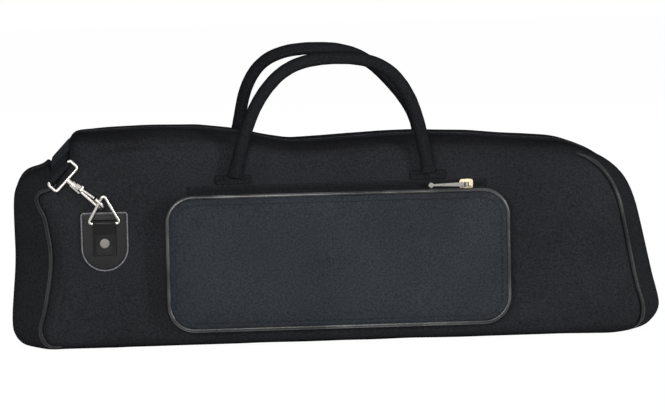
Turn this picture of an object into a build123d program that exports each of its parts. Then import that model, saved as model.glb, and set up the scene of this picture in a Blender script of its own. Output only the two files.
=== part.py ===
from build123d import *
from math import atan2, cos, radians, sin, sqrt
import os

# Soft padded trumpet case that opens like a book: two padded halves joined by a hinge strip under
# the base, a zip round the ends and top, a zipped outer pocket, two tube handles and a shoulder
# strap on swivel hooks. +X is the case's right, -Y its front, +Z up; the origin is in the base.

os.makedirs("parts", exist_ok=True)

# ---------------------------------------------------------------- driving dimensions (mm)
LENGTH_LEFT = 287.0            # origin to the left end
HEIGHT = 176.0                 # base to the top
HALF_DEPTH = 71.0              # split plane to the front or back face
WALL = 6.0                     # padded wall
EDGE_ROUND = 20.0              # rounding between the faces and the gusset
LINING = 2.0                   # foam lining sheet
SPLIT = 2.0                    # split plane to the rim of each half
CLEAR = 0.3                    # gap round soft and moving pieces

CAP_DROP = 30.0                # the case's top to the top of the left end, below the sloping corner
SLOPE_FOOT_RUN = 29.0          # the left end to where the sloping corner starts
SLOPE_HEAD_RUN = 57.0          # and to where it meets the top
END_FOOT_X = 295.0             # right end's straight line, at the base
END_HEAD_X = 256.0             # and at the top
BASE_CORNER = 30.0             # corner radii of the outline
CAP_CORNER = 23.0
SLOPE_FOOT_CORNER = 10.0
SLOPE_HEAD_CORNER = 16.0
END_HEAD_CORNER = 75.0

PIPE_R = 2.0                   # vinyl piping bead
LEFT_PIPE_RUN = 82.0           # the left end to where its piping dives into the seam
RIGHT_PIPE_RUN = 90.0          # and from the right end

TAPE_WIDTH = 12.0              # one half of the main zip tape
TAPE_THICK = 1.2
TEETH_WIDTH = 2.4
TEETH_PROUD = 0.8
ZIP_FOOT = 52.0                # height at which the zip ends

POCKET_LEFT = -151.0
POCKET_RIGHT = 155.0
POCKET_BOTTOM = 19.0
POCKET_DROP = 38.0             # the case's top to the pocket's
POCKET_DEPTH = 20.0            # face to the front of the pocket
POCKET_CORNER = 23.0
POCKET_WALL = 4.0
POCKET_FACE = 5.0
POCKET_PIPE_R = 1.6
POCKET_TAPE = 8.0              # height of the tape above the pocket
POCKET_TAPE_THICK = 1.2
POCKET_COIL = 3.0
POCKET_ZIP_LEFT = -128.0
POCKET_ZIP_RIGHT = 134.0
POCKET_SLIDER_X = 119.0

HANDLE_R = 6.2
HANDLE_HALF = 88.0             # centre to each leg
HANDLE_DROP = 22.0             # the case's top to the handle's feet
HANDLE_RISE = 98.0             # foot to the crown
HANDLE_LEAN = 28.0             # how far the crown leans over the case
HANDLE_CENTRE_X = -3.0
ANCHOR_WIDTH = 32.0
ANCHOR_THICK = 2.0

TAB_WIDTH = 43.0
TAB_HEIGHT = 54.0
TAB_THICK = 2.0
TAB_ABOVE = 10.0               # how far the tab reaches past the ring's bar
LOOP_WIDTH = 21.0              # leather loop that holds the ring
LOOP_LENGTH = 30.0
LOOP_LEATHER = 1.5
RIVET_DROP = 18.0
RIVET_R = 4.8
RIVET_SHANK_R = 1.5
RING_WIRE_R = 1.4
RING_HALF = 14.5
RING_HEIGHT = 27.0
RING_CORNER = 2.0
RING_TILT = 10.0               # degrees off the face
RING_CROSSING = 18.0           # along the ring, where the front hook passes through it

HOOK_WIRE_R = 1.5
HOOK_GAP = 10.0                # centre to centre of the hook's two runs
HOOK_REACH = 31.0              # swivel centre to the nose
HOOK_TIP = 21.0                # swivel centre to the tip
HOOK_TURN = 25.0               # degrees that the hook is turned off the face's normal
BARREL_R = 3.4
BARREL_BACK = 4.0
BARREL_FRONT = 7.0
POST_R = 1.3
POST_RUN = 0.08                # running clearance of the swivel post
GATE_R = 1.1
GATE_PIVOT = 5.5
GATE_PIN_R = 0.6
GATE_RUN = 0.15                # clearance of the gate on its pin
GATE_EYE_R = 1.5
JAW_R = 1.9                    # ears that hold the gate's pin
EAR_SIDE = 1.0
SLOT_BELOW = 1.85              # the gate's slot below and behind its pin
SLOT_LENGTH = 12.0
SLOT_HEIGHT = 5.6
EYE_NEAR = 9.0                 # swivel centre to the eye's near bar
EYE_FAR = 19.0
EYE_HALF = 14.5
EYE_CORNER = 2.5
STRAP_WIDTH = 25.0
STRAP_THICK = 1.5
STRAP_CORNER = 15.0            # bend of the webbing over the piping
STRAP_RISE = 12.0              # run over which the webbing leaves the wall for the rear bar

REAR_TAB_X = 208.0             # ring bar of the rear tab
REAR_TAB_DROP = 84.0           # the case's top to the middle of the rear tab

ZIP_PARK = 1.0                 # parked slider to the foot of the main zip
SLIDER_LENGTH = 12.0
SLIDER_WIDTH = 9.0
SLIDER_PLATE = 1.2
SLIDER_CHANNEL = 3.0           # half width of the channel over the teeth
EAR_THICK = 1.2
EAR_GAP = 4.6
PIN_R = 0.8
PIN_HEIGHT = 4.9
PULLER_LENGTH = 32.0
PULLER_THICK = 1.3
PULLER_EYE_R = 2.2
PULLER_TIP = 1.6               # width of the leaf where it meets the knob
PULLER_KNOB_R = 2.3

STIFFENER_THICK = 3.0
KEEPER_WIDTH = 45.0            # hook-and-loop strap that holds the instrument
KEEPER_THICK = 1.5
KEEPER_X = -20.0
ADJUSTER_X = -35.0
ADJUSTER_LENGTH = 28.0
ADJUSTER_BAR = 3.0
ADJUSTER_THICK = 2.5

# ---------------------------------------------------------------- derived places
CAP_HEIGHT = HEIGHT - CAP_DROP
SLOPE_FOOT_X = SLOPE_FOOT_RUN - LENGTH_LEFT
SLOPE_HEAD_X = SLOPE_HEAD_RUN - LENGTH_LEFT
LEFT_PIPE_REACH = LEFT_PIPE_RUN - LENGTH_LEFT
RIGHT_PIPE_REACH = END_FOOT_X - RIGHT_PIPE_RUN
POCKET_TOP = HEIGHT - POCKET_DROP
HANDLE_FOOT_Z = HEIGHT - HANDLE_DROP
REAR_TAB_Z = HEIGHT - REAR_TAB_DROP
CORNERS = [
    (-LENGTH_LEFT, 0),
    (-LENGTH_LEFT, CAP_HEIGHT),
    (SLOPE_FOOT_X, CAP_HEIGHT),
    (SLOPE_HEAD_X, HEIGHT),
    (END_HEAD_X, HEIGHT),
    (END_FOOT_X, 0),
]
CORNER_RADII = [BASE_CORNER, CAP_CORNER, SLOPE_FOOT_CORNER, SLOPE_HEAD_CORNER, END_HEAD_CORNER, BASE_CORNER]
SEAM_Y = HALF_DEPTH - WALL
SEAM_INSET = EDGE_ROUND - sqrt(EDGE_ROUND**2 - (EDGE_ROUND - WALL) ** 2)
FRONT = Plane.XZ               # sketches on it read as seen from the front; offset() goes forwards


def profile(inset=0.0):
    """Front outline of the case, shrunk all round by inset."""
    with BuildSketch() as outline:
        with BuildLine():
            FilletPolyline(CORNERS, radius=CORNER_RADII, close=True)
        make_face()
        if inset:
            offset(amount=-inset, mode=Mode.REPLACE)
    return outline.sketch_local


def save(builder, name):
    """Labels a finished piece and writes its STEP file."""
    builder.part.label = name
    export_step(builder.part, f"parts/{name}.step")


def save_mirrored(builder, name):
    """Writes the same piece of the rear half, mirrored in the split plane."""
    with BuildPart() as twin:
        mirror(builder.part, about=Plane.XZ)
    save(twin, name)


# ---------------------------------------------------------------- padded shells
with BuildPart() as tray:
    with BuildSketch(FRONT.offset(SPLIT)):
        add(profile())
    extrude(amount=HALF_DEPTH - SPLIT)
    fillet(tray.faces().sort_by(Axis.Y)[0].edges(), EDGE_ROUND)
    with BuildSketch(FRONT.offset(SPLIT)):
        add(profile(WALL))
    extrude(amount=SEAM_Y - SPLIT, mode=Mode.SUBTRACT)

with BuildSketch(FRONT.offset(SEAM_Y)) as seam_face:
    add(profile(SEAM_INSET))
seam = seam_face.sketch.face().outer_wire()

with BuildPart() as left_piping:
    with BuildSketch(Plane(origin=seam @ 0, z_dir=seam % 0)):
        Circle(PIPE_R)
    sweep(path=seam)
    split(bisect_by=Plane.YZ.offset(LEFT_PIPE_REACH), keep=Keep.BOTTOM)

with BuildPart() as right_piping:
    with BuildSketch(Plane(origin=seam @ 0, z_dir=seam % 0)):
        Circle(PIPE_R)
    sweep(path=seam)
    split(bisect_by=Plane.YZ.offset(RIGHT_PIPE_REACH), keep=Keep.TOP)

with BuildPart() as panel:
    add(tray.part)
    split(bisect_by=FRONT.offset(SEAM_Y), keep=Keep.TOP)
    add(left_piping.part, mode=Mode.SUBTRACT)
    add(right_piping.part, mode=Mode.SUBTRACT)

with BuildPart() as zip_tape:
    with BuildSketch(FRONT.offset(CLEAR)):
        add(profile(CLEAR))
        add(profile(CLEAR + TAPE_THICK), mode=Mode.SUBTRACT)
    extrude(amount=TAPE_WIDTH)
    with BuildSketch(FRONT.offset(CLEAR)):
        add(profile(-TEETH_PROUD))
        add(profile(CLEAR + TAPE_THICK), mode=Mode.SUBTRACT)
    extrude(amount=TEETH_WIDTH)
    split(bisect_by=Plane.XY.offset(ZIP_FOOT), keep=Keep.TOP)

with BuildPart() as gusset:
    add(tray.part)
    split(bisect_by=FRONT.offset(SEAM_Y), keep=Keep.BOTTOM)
    add(left_piping.part, mode=Mode.SUBTRACT)
    add(right_piping.part, mode=Mode.SUBTRACT)
    with BuildSketch(FRONT.offset(SPLIT)):
        add(profile(-WALL))
        add(profile(CLEAR + TAPE_THICK), mode=Mode.SUBTRACT)
        with Locations((0, ZIP_FOOT / 2)):
            Rectangle(4 * LENGTH_LEFT, ZIP_FOOT, mode=Mode.SUBTRACT)
    extrude(amount=TAPE_WIDTH + CLEAR - SPLIT, mode=Mode.SUBTRACT)

with BuildPart() as lining:
    with BuildSketch(FRONT.offset(SEAM_Y - LINING)):
        add(profile(SEAM_INSET + PIPE_R + CLEAR))
    extrude(amount=LINING)

for half in ("front", "rear"):
    write = save if half == "front" else save_mirrored
    write(panel, f"{half}_panel")
    write(gusset, f"{half}_gusset")
    write(left_piping, f"{half}_left_piping")
    write(right_piping, f"{half}_right_piping")
    write(zip_tape, f"{half}_zip_tape")
    write(lining, f"{half}_lining")

# ---------------------------------------------------------------- base and instrument supports
STRIP_LEFT = -LENGTH_LEFT + BASE_CORNER + WALL
STRIP_RIGHT = END_FOOT_X - 2 * BASE_CORNER

with BuildPart() as hinge_strip:
    with BuildSketch():
        with Locations(((STRIP_LEFT + STRIP_RIGHT) / 2, CLEAR / 2)):
            Rectangle(STRIP_RIGHT - STRIP_LEFT, 2 * SPLIT - CLEAR)
    extrude(amount=STIFFENER_THICK)
save(hinge_strip, "hinge_strip")

with BuildPart() as base_stiffener:
    with BuildSketch(Plane.XY.offset(WALL)):
        with Locations(((STRIP_LEFT + STRIP_RIGHT) / 2, (SPLIT + SEAM_Y - LINING) / 2)):
            RectangleRounded(STRIP_RIGHT - STRIP_LEFT, SEAM_Y - LINING - SPLIT - 2 * CLEAR, BASE_CORNER / 4)
    extrude(amount=STIFFENER_THICK)
save(base_stiffener, "base_stiffener")


with BuildPart() as keeper_strap:
    with BuildSketch(FRONT.offset(KEEPER_THICK + LINING - SEAM_Y)):
        with Locations((KEEPER_X, HEIGHT / 2)):
            RectangleRounded(KEEPER_WIDTH, HEIGHT - 6 * WALL, KEEPER_WIDTH / 6)
    extrude(amount=-KEEPER_THICK)
save(keeper_strap, "keeper_strap")

# ---------------------------------------------------------------- outer pocket
POCKET_WIDTH = POCKET_RIGHT - POCKET_LEFT
POCKET_HEIGHT = POCKET_TOP - POCKET_BOTTOM
POCKET_X = (POCKET_LEFT + POCKET_RIGHT) / 2
POCKET_Z = (POCKET_BOTTOM + POCKET_TOP) / 2
POCKET_Y = HALF_DEPTH + POCKET_DEPTH


def pocket_outline(inset=0.0):
    """Rounded rectangle of the pocket, shrunk by inset."""
    with BuildSketch() as face:
        with Locations((POCKET_X, POCKET_Z)):
            RectangleRounded(POCKET_WIDTH - 2 * inset, POCKET_HEIGHT - 2 * inset, POCKET_CORNER - inset)
    return face.sketch_local


with BuildSketch(FRONT.offset(POCKET_Y - POCKET_FACE)) as pocket_rim:
    add(pocket_outline())
pocket_seam = pocket_rim.sketch.face().outer_wire()

with BuildPart() as pocket_piping:
    with BuildSketch(Plane(origin=pocket_seam @ 0, z_dir=pocket_seam % 0)):
        Circle(POCKET_PIPE_R)
    sweep(path=pocket_seam)
save(pocket_piping, "pocket_piping")

with BuildPart() as pocket_panel:
    with BuildSketch(FRONT.offset(POCKET_Y - POCKET_FACE)):
        add(pocket_outline())
    extrude(amount=POCKET_FACE)
    fillet(pocket_panel.faces().sort_by(Axis.Y)[0].edges(), POCKET_FACE - POCKET_PIPE_R)
    add(pocket_piping.part, mode=Mode.SUBTRACT)
save(pocket_panel, "pocket_panel")

with BuildPart() as pocket_gusset:
    with BuildSketch(FRONT.offset(HALF_DEPTH + CLEAR)):
        add(pocket_outline())
        add(pocket_outline(POCKET_WALL), mode=Mode.SUBTRACT)
    extrude(amount=POCKET_DEPTH - POCKET_FACE - CLEAR)
    add(pocket_piping.part, mode=Mode.SUBTRACT)
save(pocket_gusset, "pocket_gusset")

POCKET_ZIP_X = (POCKET_ZIP_LEFT + POCKET_ZIP_RIGHT) / 2
POCKET_ZIP_Z = POCKET_TOP + SLIDER_WIDTH / 2 + CLEAR
POCKET_COIL_Y = HALF_DEPTH + POCKET_TAPE_THICK

with BuildPart() as pocket_zip:
    with BuildSketch(FRONT.offset(HALF_DEPTH)):
        with Locations((POCKET_ZIP_X, POCKET_ZIP_Z)):
            SlotOverall(POCKET_ZIP_RIGHT - POCKET_ZIP_LEFT + POCKET_TAPE, POCKET_TAPE)
    extrude(amount=POCKET_TAPE_THICK)
    with BuildSketch(FRONT.offset(POCKET_COIL_Y)):
        with Locations((POCKET_ZIP_X, POCKET_ZIP_Z)):
            Rectangle(POCKET_ZIP_RIGHT - POCKET_ZIP_LEFT, POCKET_COIL)
    extrude(amount=TEETH_PROUD)
save(pocket_zip, "pocket_zip")


# ---------------------------------------------------------------- zip sliders and pullers
def slider(plane, name):
    """Slider whose channel straddles the teeth. The plane's x is the travel, its z points outwards."""
    with BuildPart() as body:
        with BuildSketch(plane.offset(CLEAR)):
            RectangleRounded(SLIDER_LENGTH, SLIDER_WIDTH, SLIDER_WIDTH / 4)
        extrude(amount=TEETH_PROUD + SLIDER_PLATE)
        with BuildSketch(plane):
            Rectangle(2 * SLIDER_LENGTH, 2 * SLIDER_CHANNEL)
        extrude(amount=TEETH_PROUD + CLEAR, mode=Mode.SUBTRACT)
        with BuildSketch(plane.offset(CLEAR + TEETH_PROUD + SLIDER_PLATE)):
            with Locations((0, EAR_GAP / 2 + EAR_THICK / 2), (0, -EAR_GAP / 2 - EAR_THICK / 2)):
                Rectangle(2 * PULLER_EYE_R, EAR_THICK)
        extrude(amount=PIN_HEIGHT - TEETH_PROUD - SLIDER_PLATE + PIN_R)
        with Locations(plane * Location((0, 0, PIN_HEIGHT), (90, 0, 0))):
            Cylinder(PIN_R, EAR_GAP + 2 * EAR_THICK)
    save(body, name)


def puller(plane, name):
    """Tapered puller lying along -x of the plane, with an eye round the slider's pin and a knob."""
    across = Plane(origin=plane.from_local_coords(Vector(0, 0, PIN_HEIGHT)), x_dir=plane.x_dir, z_dir=plane.y_dir)
    width = EAR_GAP - 2 * CLEAR
    with BuildPart() as body:
        with BuildSketch(plane.offset(PIN_HEIGHT - PULLER_THICK / 2)):
            with BuildLine():
                Polyline(
                    (0, width / 2),
                    (-PULLER_LENGTH, PULLER_TIP / 2),
                    (-PULLER_LENGTH, -PULLER_TIP / 2),
                    (0, -width / 2),
                    close=True,
                )
            make_face()
            with Locations((-PULLER_LENGTH, 0)):
                Circle(PULLER_KNOB_R)
        extrude(amount=PULLER_THICK)
        with BuildSketch(across):
            Circle(PULLER_EYE_R)
        extrude(amount=width / 2, both=True)
        with BuildSketch(across):
            Circle(PIN_R + CLEAR)
        extrude(amount=width, both=True, mode=Mode.SUBTRACT)
    save(body, name)


END_ANGLE = atan2(HEIGHT, END_HEAD_X - END_FOOT_X)
END_UP = Vector(cos(END_ANGLE), 0, sin(END_ANGLE))
END_OUT = Vector(sin(END_ANGLE), 0, -cos(END_ANGLE))
MAIN_SLIDER_Z = ZIP_FOOT - SLIDER_LENGTH / 2 - ZIP_PARK
MAIN_SLIDER_X = END_FOOT_X + MAIN_SLIDER_Z * cos(END_ANGLE) / sin(END_ANGLE)
main_zip_plane = Plane(origin=(MAIN_SLIDER_X, 0, MAIN_SLIDER_Z), x_dir=END_UP, z_dir=END_OUT)
slider(main_zip_plane, "main_slider")
puller(main_zip_plane, "main_puller")

pocket_zip_plane = Plane(
    origin=(POCKET_SLIDER_X, -POCKET_COIL_Y, POCKET_ZIP_Z), x_dir=(1, 0, 0), z_dir=(0, -1, 0)
)
slider(pocket_zip_plane, "pocket_slider")
puller(pocket_zip_plane, "pocket_puller")

# ---------------------------------------------------------------- handles
HANDLE_Y = HALF_DEPTH + ANCHOR_THICK + CLEAR + HANDLE_R
HANDLE_STEPS = [                # share of the half width, of the lean and of the rise
    (1.0, 0.0, 0.0),
    (0.97, 0.03, 0.23),
    (0.85, 0.32, 0.60),
    (0.57, 0.80, 0.91),
    (0.26, 1.0, 1.0),
]
HANDLE_BENDS = [110.0, 80.0, 56.0, 54.0]

with BuildPart() as handle:
    with BuildLine() as handle_line:
        half_route = [
            (share * HANDLE_HALF, -HANDLE_Y + lean * HANDLE_LEAN, HANDLE_FOOT_Z + rise * HANDLE_RISE)
            for share, lean, rise in HANDLE_STEPS
        ]
        route = [(HANDLE_CENTRE_X - x, y, z) for x, y, z in half_route]
        route += [(HANDLE_CENTRE_X + x, y, z) for x, y, z in reversed(half_route)]
        FilletPolyline(route, radius=HANDLE_BENDS + HANDLE_BENDS[::-1])
    with BuildSketch(Plane(origin=handle_line.line @ 0, z_dir=handle_line.line % 0)):
        Circle(HANDLE_R)
    sweep(path=handle_line.wires()[0])
    with Locations(route[0], route[-1]):
        Sphere(HANDLE_R)

ANCHOR_BOTTOM = POCKET_ZIP_Z + SLIDER_WIDTH / 2 + 2 * CLEAR
ANCHOR_TOP = HEIGHT - EDGE_ROUND

with BuildPart() as anchors:
    with BuildSketch(FRONT.offset(HALF_DEPTH)):
        with Locations(
            (HANDLE_CENTRE_X - HANDLE_HALF, (ANCHOR_BOTTOM + ANCHOR_TOP) / 2),
            (HANDLE_CENTRE_X + HANDLE_HALF, (ANCHOR_BOTTOM + ANCHOR_TOP) / 2),
        ):
            RectangleRounded(ANCHOR_WIDTH, ANCHOR_TOP - ANCHOR_BOTTOM, ANCHOR_THICK)
    extrude(amount=ANCHOR_THICK)

save(handle, "front_handle")
save_mirrored(handle, "rear_handle")
save(anchors, "front_handle_anchors")
save_mirrored(anchors, "rear_handle_anchors")


# ---------------------------------------------------------------- leather tabs and rings
LOOP_R = RING_WIRE_R + CLEAR + LOOP_LEATHER
BAR_OUT = TAB_THICK + LOOP_R


def tab(plane, half):
    """Leather tab with a folded loop, its rivet and the triangular ring. The plane's origin is under
    the ring's bar, its y points to the ring's apex and its z out of the face."""
    side = Plane(origin=plane.origin, x_dir=plane.y_dir, z_dir=plane.x_dir)
    low = TAB_ABOVE - TAB_HEIGHT
    loop_top = BAR_OUT + LOOP_R
    loop_end = TAB_THICK + 2 * LOOP_LEATHER
    with BuildPart() as leather:
        with BuildSketch(plane):
            with Locations((0, (TAB_ABOVE + low + TAB_WIDTH / 2) / 2)):
                Rectangle(TAB_WIDTH, TAB_ABOVE - low - TAB_WIDTH / 2)
            with Locations((0, low + TAB_WIDTH / 2)):
                Circle(TAB_WIDTH / 2)
        extrude(amount=TAB_THICK)
        with Locations(plane * Location((0, -RIVET_DROP, TAB_THICK / 2))):
            Cylinder(RIVET_SHANK_R + CLEAR / 3, TAB_THICK, mode=Mode.SUBTRACT)
    save(leather, f"{half}_tab")
    with BuildPart() as loop:
        with BuildSketch(side):
            with BuildLine():
                Polyline(
                    (0, TAB_THICK), (0, loop_top), (-LOOP_LENGTH / 3, loop_end + LOOP_LEATHER / 2),
                    (-LOOP_LENGTH, loop_end), (-LOOP_LENGTH, TAB_THICK), close=True,
                )
            make_face()
            with Locations((0, BAR_OUT)):
                Circle(LOOP_R)
                Circle(RING_WIRE_R + CLEAR, mode=Mode.SUBTRACT)
        extrude(amount=LOOP_WIDTH / 2, both=True)
        with Locations(plane * Location((0, -RIVET_DROP, loop_top / 2))):
            Cylinder(RIVET_SHANK_R + CLEAR / 3, 2 * loop_top, mode=Mode.SUBTRACT)
    save(loop, f"{half}_tab_loop")
    cap_from = loop_end + LOOP_LEATHER / 2 + CLEAR
    with BuildPart() as rivet:
        with BuildSketch(plane.offset(CLEAR)):
            with Locations((0, -RIVET_DROP)):
                Circle(RIVET_SHANK_R)
        extrude(amount=cap_from)
        with BuildSketch(plane.offset(cap_from)):
            with Locations((0, -RIVET_DROP)):
                Circle(RIVET_R)
        extrude(amount=RIVET_R / 3)
        cap_face = rivet.faces().sort_by(Axis(plane.origin, plane.z_dir))[-1]
        fillet(cap_face.edges(), RIVET_R / 4)
    save(rivet, f"{half}_rivet")
    tilt = radians(RING_TILT)
    ring_y = plane.y_dir * cos(tilt) + plane.z_dir * sin(tilt)
    ring_plane = Plane(
        origin=plane.from_local_coords(Vector(0, 0, BAR_OUT)), x_dir=plane.x_dir, z_dir=plane.x_dir.cross(ring_y)
    )
    with BuildPart() as ring:
        with BuildLine(ring_plane) as ring_line:
            FilletPolyline((-RING_HALF, 0), (RING_HALF, 0), (0, RING_HEIGHT), radius=RING_CORNER, close=True)
        with BuildSketch(Plane(origin=ring_line.line @ 0, z_dir=ring_line.line % 0)):
            Circle(RING_WIRE_R)
        sweep(path=ring_line.wires()[0])
    save(ring, f"{half}_ring")
    return ring_plane


# ---------------------------------------------------------------- swivel hooks
def hook(origin, along, outward, turn, half):
    """Swivel hook: the eye that the strap holds, the hook and its sprung gate. along points from
    the swivel to the nose, outward off the face, and turn tilts the hook about its own shank."""
    eye_plane = Plane(origin=origin, x_dir=along, z_dir=outward)
    tilt = radians(turn)
    lift = outward * cos(tilt) + eye_plane.y_dir * sin(tilt)
    hook_plane = Plane(origin=origin, x_dir=along, z_dir=along.cross(lift))
    shank_plane = Plane(origin=origin, x_dir=eye_plane.y_dir, z_dir=along)
    with BuildPart() as eye:
        with BuildLine(eye_plane) as eye_line:
            FilletPolyline(
                (-EYE_NEAR, EYE_HALF), (-EYE_FAR, EYE_HALF), (-EYE_FAR, -EYE_HALF), (-EYE_NEAR, -EYE_HALF),
                radius=EYE_CORNER, close=True,
            )
        with BuildSketch(Plane(origin=eye_line.line @ 0, z_dir=eye_line.line % 0)):
            Circle(RING_WIRE_R)
        sweep(path=eye_line.wires()[0])
        with BuildSketch(shank_plane.offset(-EYE_NEAR)):
            Circle(POST_R)
        extrude(amount=EYE_NEAR + BARREL_FRONT / 3)
        with BuildSketch(shank_plane.offset(-EYE_NEAR)):
            Circle(POST_R + 1)
        extrude(amount=EYE_NEAR - BARREL_BACK - CLEAR)
    save(eye, f"{half}_hook_eye")
    with BuildPart() as body:
        with BuildSketch(shank_plane.offset(-BARREL_BACK)):
            Circle(BARREL_R)
        extrude(amount=BARREL_BACK + BARREL_FRONT)
        with BuildSketch(shank_plane.offset(-BARREL_BACK)):
            Circle(POST_R + POST_RUN)
        extrude(amount=BARREL_BACK + BARREL_FRONT / 2, mode=Mode.SUBTRACT)
        with BuildSketch(hook_plane):
            with BuildLine():
                Polyline(
                    (0, 0),
                    (BARREL_FRONT, 0),
                    (GATE_PIVOT + JAW_R, GATE_PIVOT),
                    (0, GATE_PIVOT - JAW_R),
                    close=True,
                )
            make_face()
            with Locations((GATE_PIVOT, GATE_PIVOT)):
                Circle(JAW_R)
        extrude(amount=GATE_R + CLEAR + EAR_SIDE, both=True)
        with BuildSketch(hook_plane):
            with Locations((GATE_PIVOT - SLOT_BELOW, GATE_PIVOT - SLOT_BELOW)):
                Rectangle(SLOT_LENGTH, SLOT_HEIGHT, align=(Align.MIN, Align.MIN))
        extrude(amount=GATE_R + CLEAR, both=True, mode=Mode.SUBTRACT)
        with BuildSketch(shank_plane.offset(-BARREL_BACK)):
            Circle(POST_R + POST_RUN)
        extrude(amount=BARREL_BACK + BARREL_FRONT / 2, mode=Mode.SUBTRACT)
        with BuildLine(hook_plane) as hook_line:
            FilletPolyline(
                (BARREL_FRONT - 1, 0), (HOOK_REACH, 0), (HOOK_REACH, HOOK_GAP), (HOOK_TIP, HOOK_GAP),
                radius=HOOK_GAP / 2 - POST_RUN,
            )
        with BuildSketch(Plane(origin=hook_line.line @ 0, z_dir=hook_line.line % 0)):
            Circle(HOOK_WIRE_R)
        sweep(path=hook_line.wires()[0])
        with BuildSketch(hook_plane):
            with Locations((GATE_PIVOT, GATE_PIVOT)):
                Circle(GATE_PIN_R)
        extrude(amount=GATE_R + CLEAR + EAR_SIDE, both=True)
    save(body, f"{half}_hook")
    with BuildPart() as gate:
        with BuildLine(hook_plane) as gate_line:
            Line((GATE_PIVOT, GATE_PIVOT), (HOOK_TIP - HOOK_WIRE_R, HOOK_GAP))
        with BuildSketch(Plane(origin=gate_line.line @ 0, z_dir=gate_line.line % 0)):
            Circle(GATE_R)
        sweep(path=gate_line.wires()[0])
        with BuildSketch(hook_plane):
            with Locations((GATE_PIVOT, GATE_PIVOT)):
                Circle(GATE_EYE_R)
        extrude(amount=GATE_R + GATE_RUN, both=True)
        with BuildSketch(hook_plane):
            with Locations((GATE_PIVOT, GATE_PIVOT)):
                Circle(GATE_PIN_R + GATE_RUN)
        extrude(amount=2 * GATE_R, both=True, mode=Mode.SUBTRACT)
    save(gate, f"{half}_gate")
    return hook_plane


SLOPE_ANGLE = atan2(HEIGHT - CAP_HEIGHT, SLOPE_HEAD_X - SLOPE_FOOT_X)
SLOPE_OUT = Vector(-sin(SLOPE_ANGLE), 0, cos(SLOPE_ANGLE))
SLOPE_ALONG = Vector(cos(SLOPE_ANGLE), 0, sin(SLOPE_ANGLE))
SLOPE_MID = Vector((SLOPE_FOOT_X + SLOPE_HEAD_X) / 2, 0, (CAP_HEIGHT + HEIGHT) / 2)
STRAP_LOOP_R = RING_WIRE_R + CLEAR
EYE_LIFT = CLEAR + STRAP_THICK + STRAP_LOOP_R
CROSSING_X = -RING_HALF * (1 - RING_CROSSING / RING_HEIGHT)
CROSSING_OUT = BAR_OUT + RING_CROSSING * sin(radians(RING_TILT))
HOOK_OUT = CROSSING_OUT - HOOK_GAP / 2 * cos(radians(HOOK_TURN))
NOSE_CENTRE = HOOK_REACH - HOOK_GAP / 2

front_hook_origin = SLOPE_MID + SLOPE_OUT * (EYE_LIFT - EYE_FAR) + Vector(0, -HALF_DEPTH - HOOK_OUT, 0)
front_hook_plane = hook(front_hook_origin, -SLOPE_OUT, Vector(0, -1, 0), HOOK_TURN, "front")
crossing = front_hook_plane.from_local_coords(Vector(NOSE_CENTRE, HOOK_GAP / 2, 0))
front_tab_plane = Plane(
    origin=(crossing.X - CROSSING_X, -HALF_DEPTH, crossing.Z - RING_CROSSING * cos(radians(RING_TILT))),
    x_dir=(1, 0, 0),
    z_dir=(0, -1, 0),
)
front_ring_plane = tab(front_tab_plane, "front")

rear_tab_plane = Plane(origin=(REAR_TAB_X, HALF_DEPTH, REAR_TAB_Z), x_dir=(0, 0, -1), z_dir=(0, 1, 0))
rear_ring_plane = tab(rear_tab_plane, "rear")
APEX = RING_HEIGHT - 2 * RING_CORNER
apex_point = rear_ring_plane.from_local_coords(Vector(0, APEX, 0))
rear_hook_origin = apex_point + Vector(-NOSE_CENTRE, -HOOK_GAP / 2, 0)
rear_hook_plane = hook(rear_hook_origin, Vector(1, 0, 0), Vector(0, 1, 0), 0.0, "rear")

# ---------------------------------------------------------------- shoulder strap
slope_plane = Plane(origin=SLOPE_MID, x_dir=SLOPE_OUT, z_dir=SLOPE_ALONG)
SIDE = 1 if slope_plane.y_dir.Y > 0 else -1      # +1 where the plane's y runs to the back
STRAP_MID = CLEAR + STRAP_THICK / 2
STRAP_OVER = STRAP_MID + TEETH_PROUD             # centre of the webbing where it crosses the zip

with BuildPart() as strap_front:
    with BuildSketch(slope_plane):
        with BuildLine():
            Polyline(
                (EYE_LIFT, -SIDE * (HALF_DEPTH + HOOK_OUT)),
                (STRAP_OVER, -SIDE * (HALF_DEPTH - EDGE_ROUND)),
                (STRAP_OVER, -SIDE * (SPLIT - CLEAR)),
            )
        trace(line_width=STRAP_THICK)
        with Locations((EYE_LIFT, -SIDE * (HALF_DEPTH + HOOK_OUT))):
            Circle(STRAP_LOOP_R + STRAP_THICK)
            Circle(STRAP_LOOP_R, mode=Mode.SUBTRACT)
    extrude(amount=STRAP_WIDTH / 2, both=True)
save(strap_front, "strap_front")

strap_start = SLOPE_MID - SLOPE_OUT * EDGE_ROUND
BAR_X = rear_hook_origin.X - EYE_FAR
STRAP_ROUTE = [                 # runs from the sloping corner, and hangs below the rear tab
    (strap_start.X, strap_start.Z),
    (SLOPE_MID.X + 79.0, SLOPE_MID.Z - 73.0),
    (SLOPE_MID.X + 159.0, REAR_TAB_Z - 37.0),
    (SLOPE_MID.X + 254.0, REAR_TAB_Z - 34.0),
    (SLOPE_MID.X + 319.0, REAR_TAB_Z),
    (BAR_X - STRAP_RISE, REAR_TAB_Z),
]
STRAP_BENDS = [200.0, 170.0, 130.0, 85.0]
STRAP_BACK_Y = HALF_DEPTH + CLEAR

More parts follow.
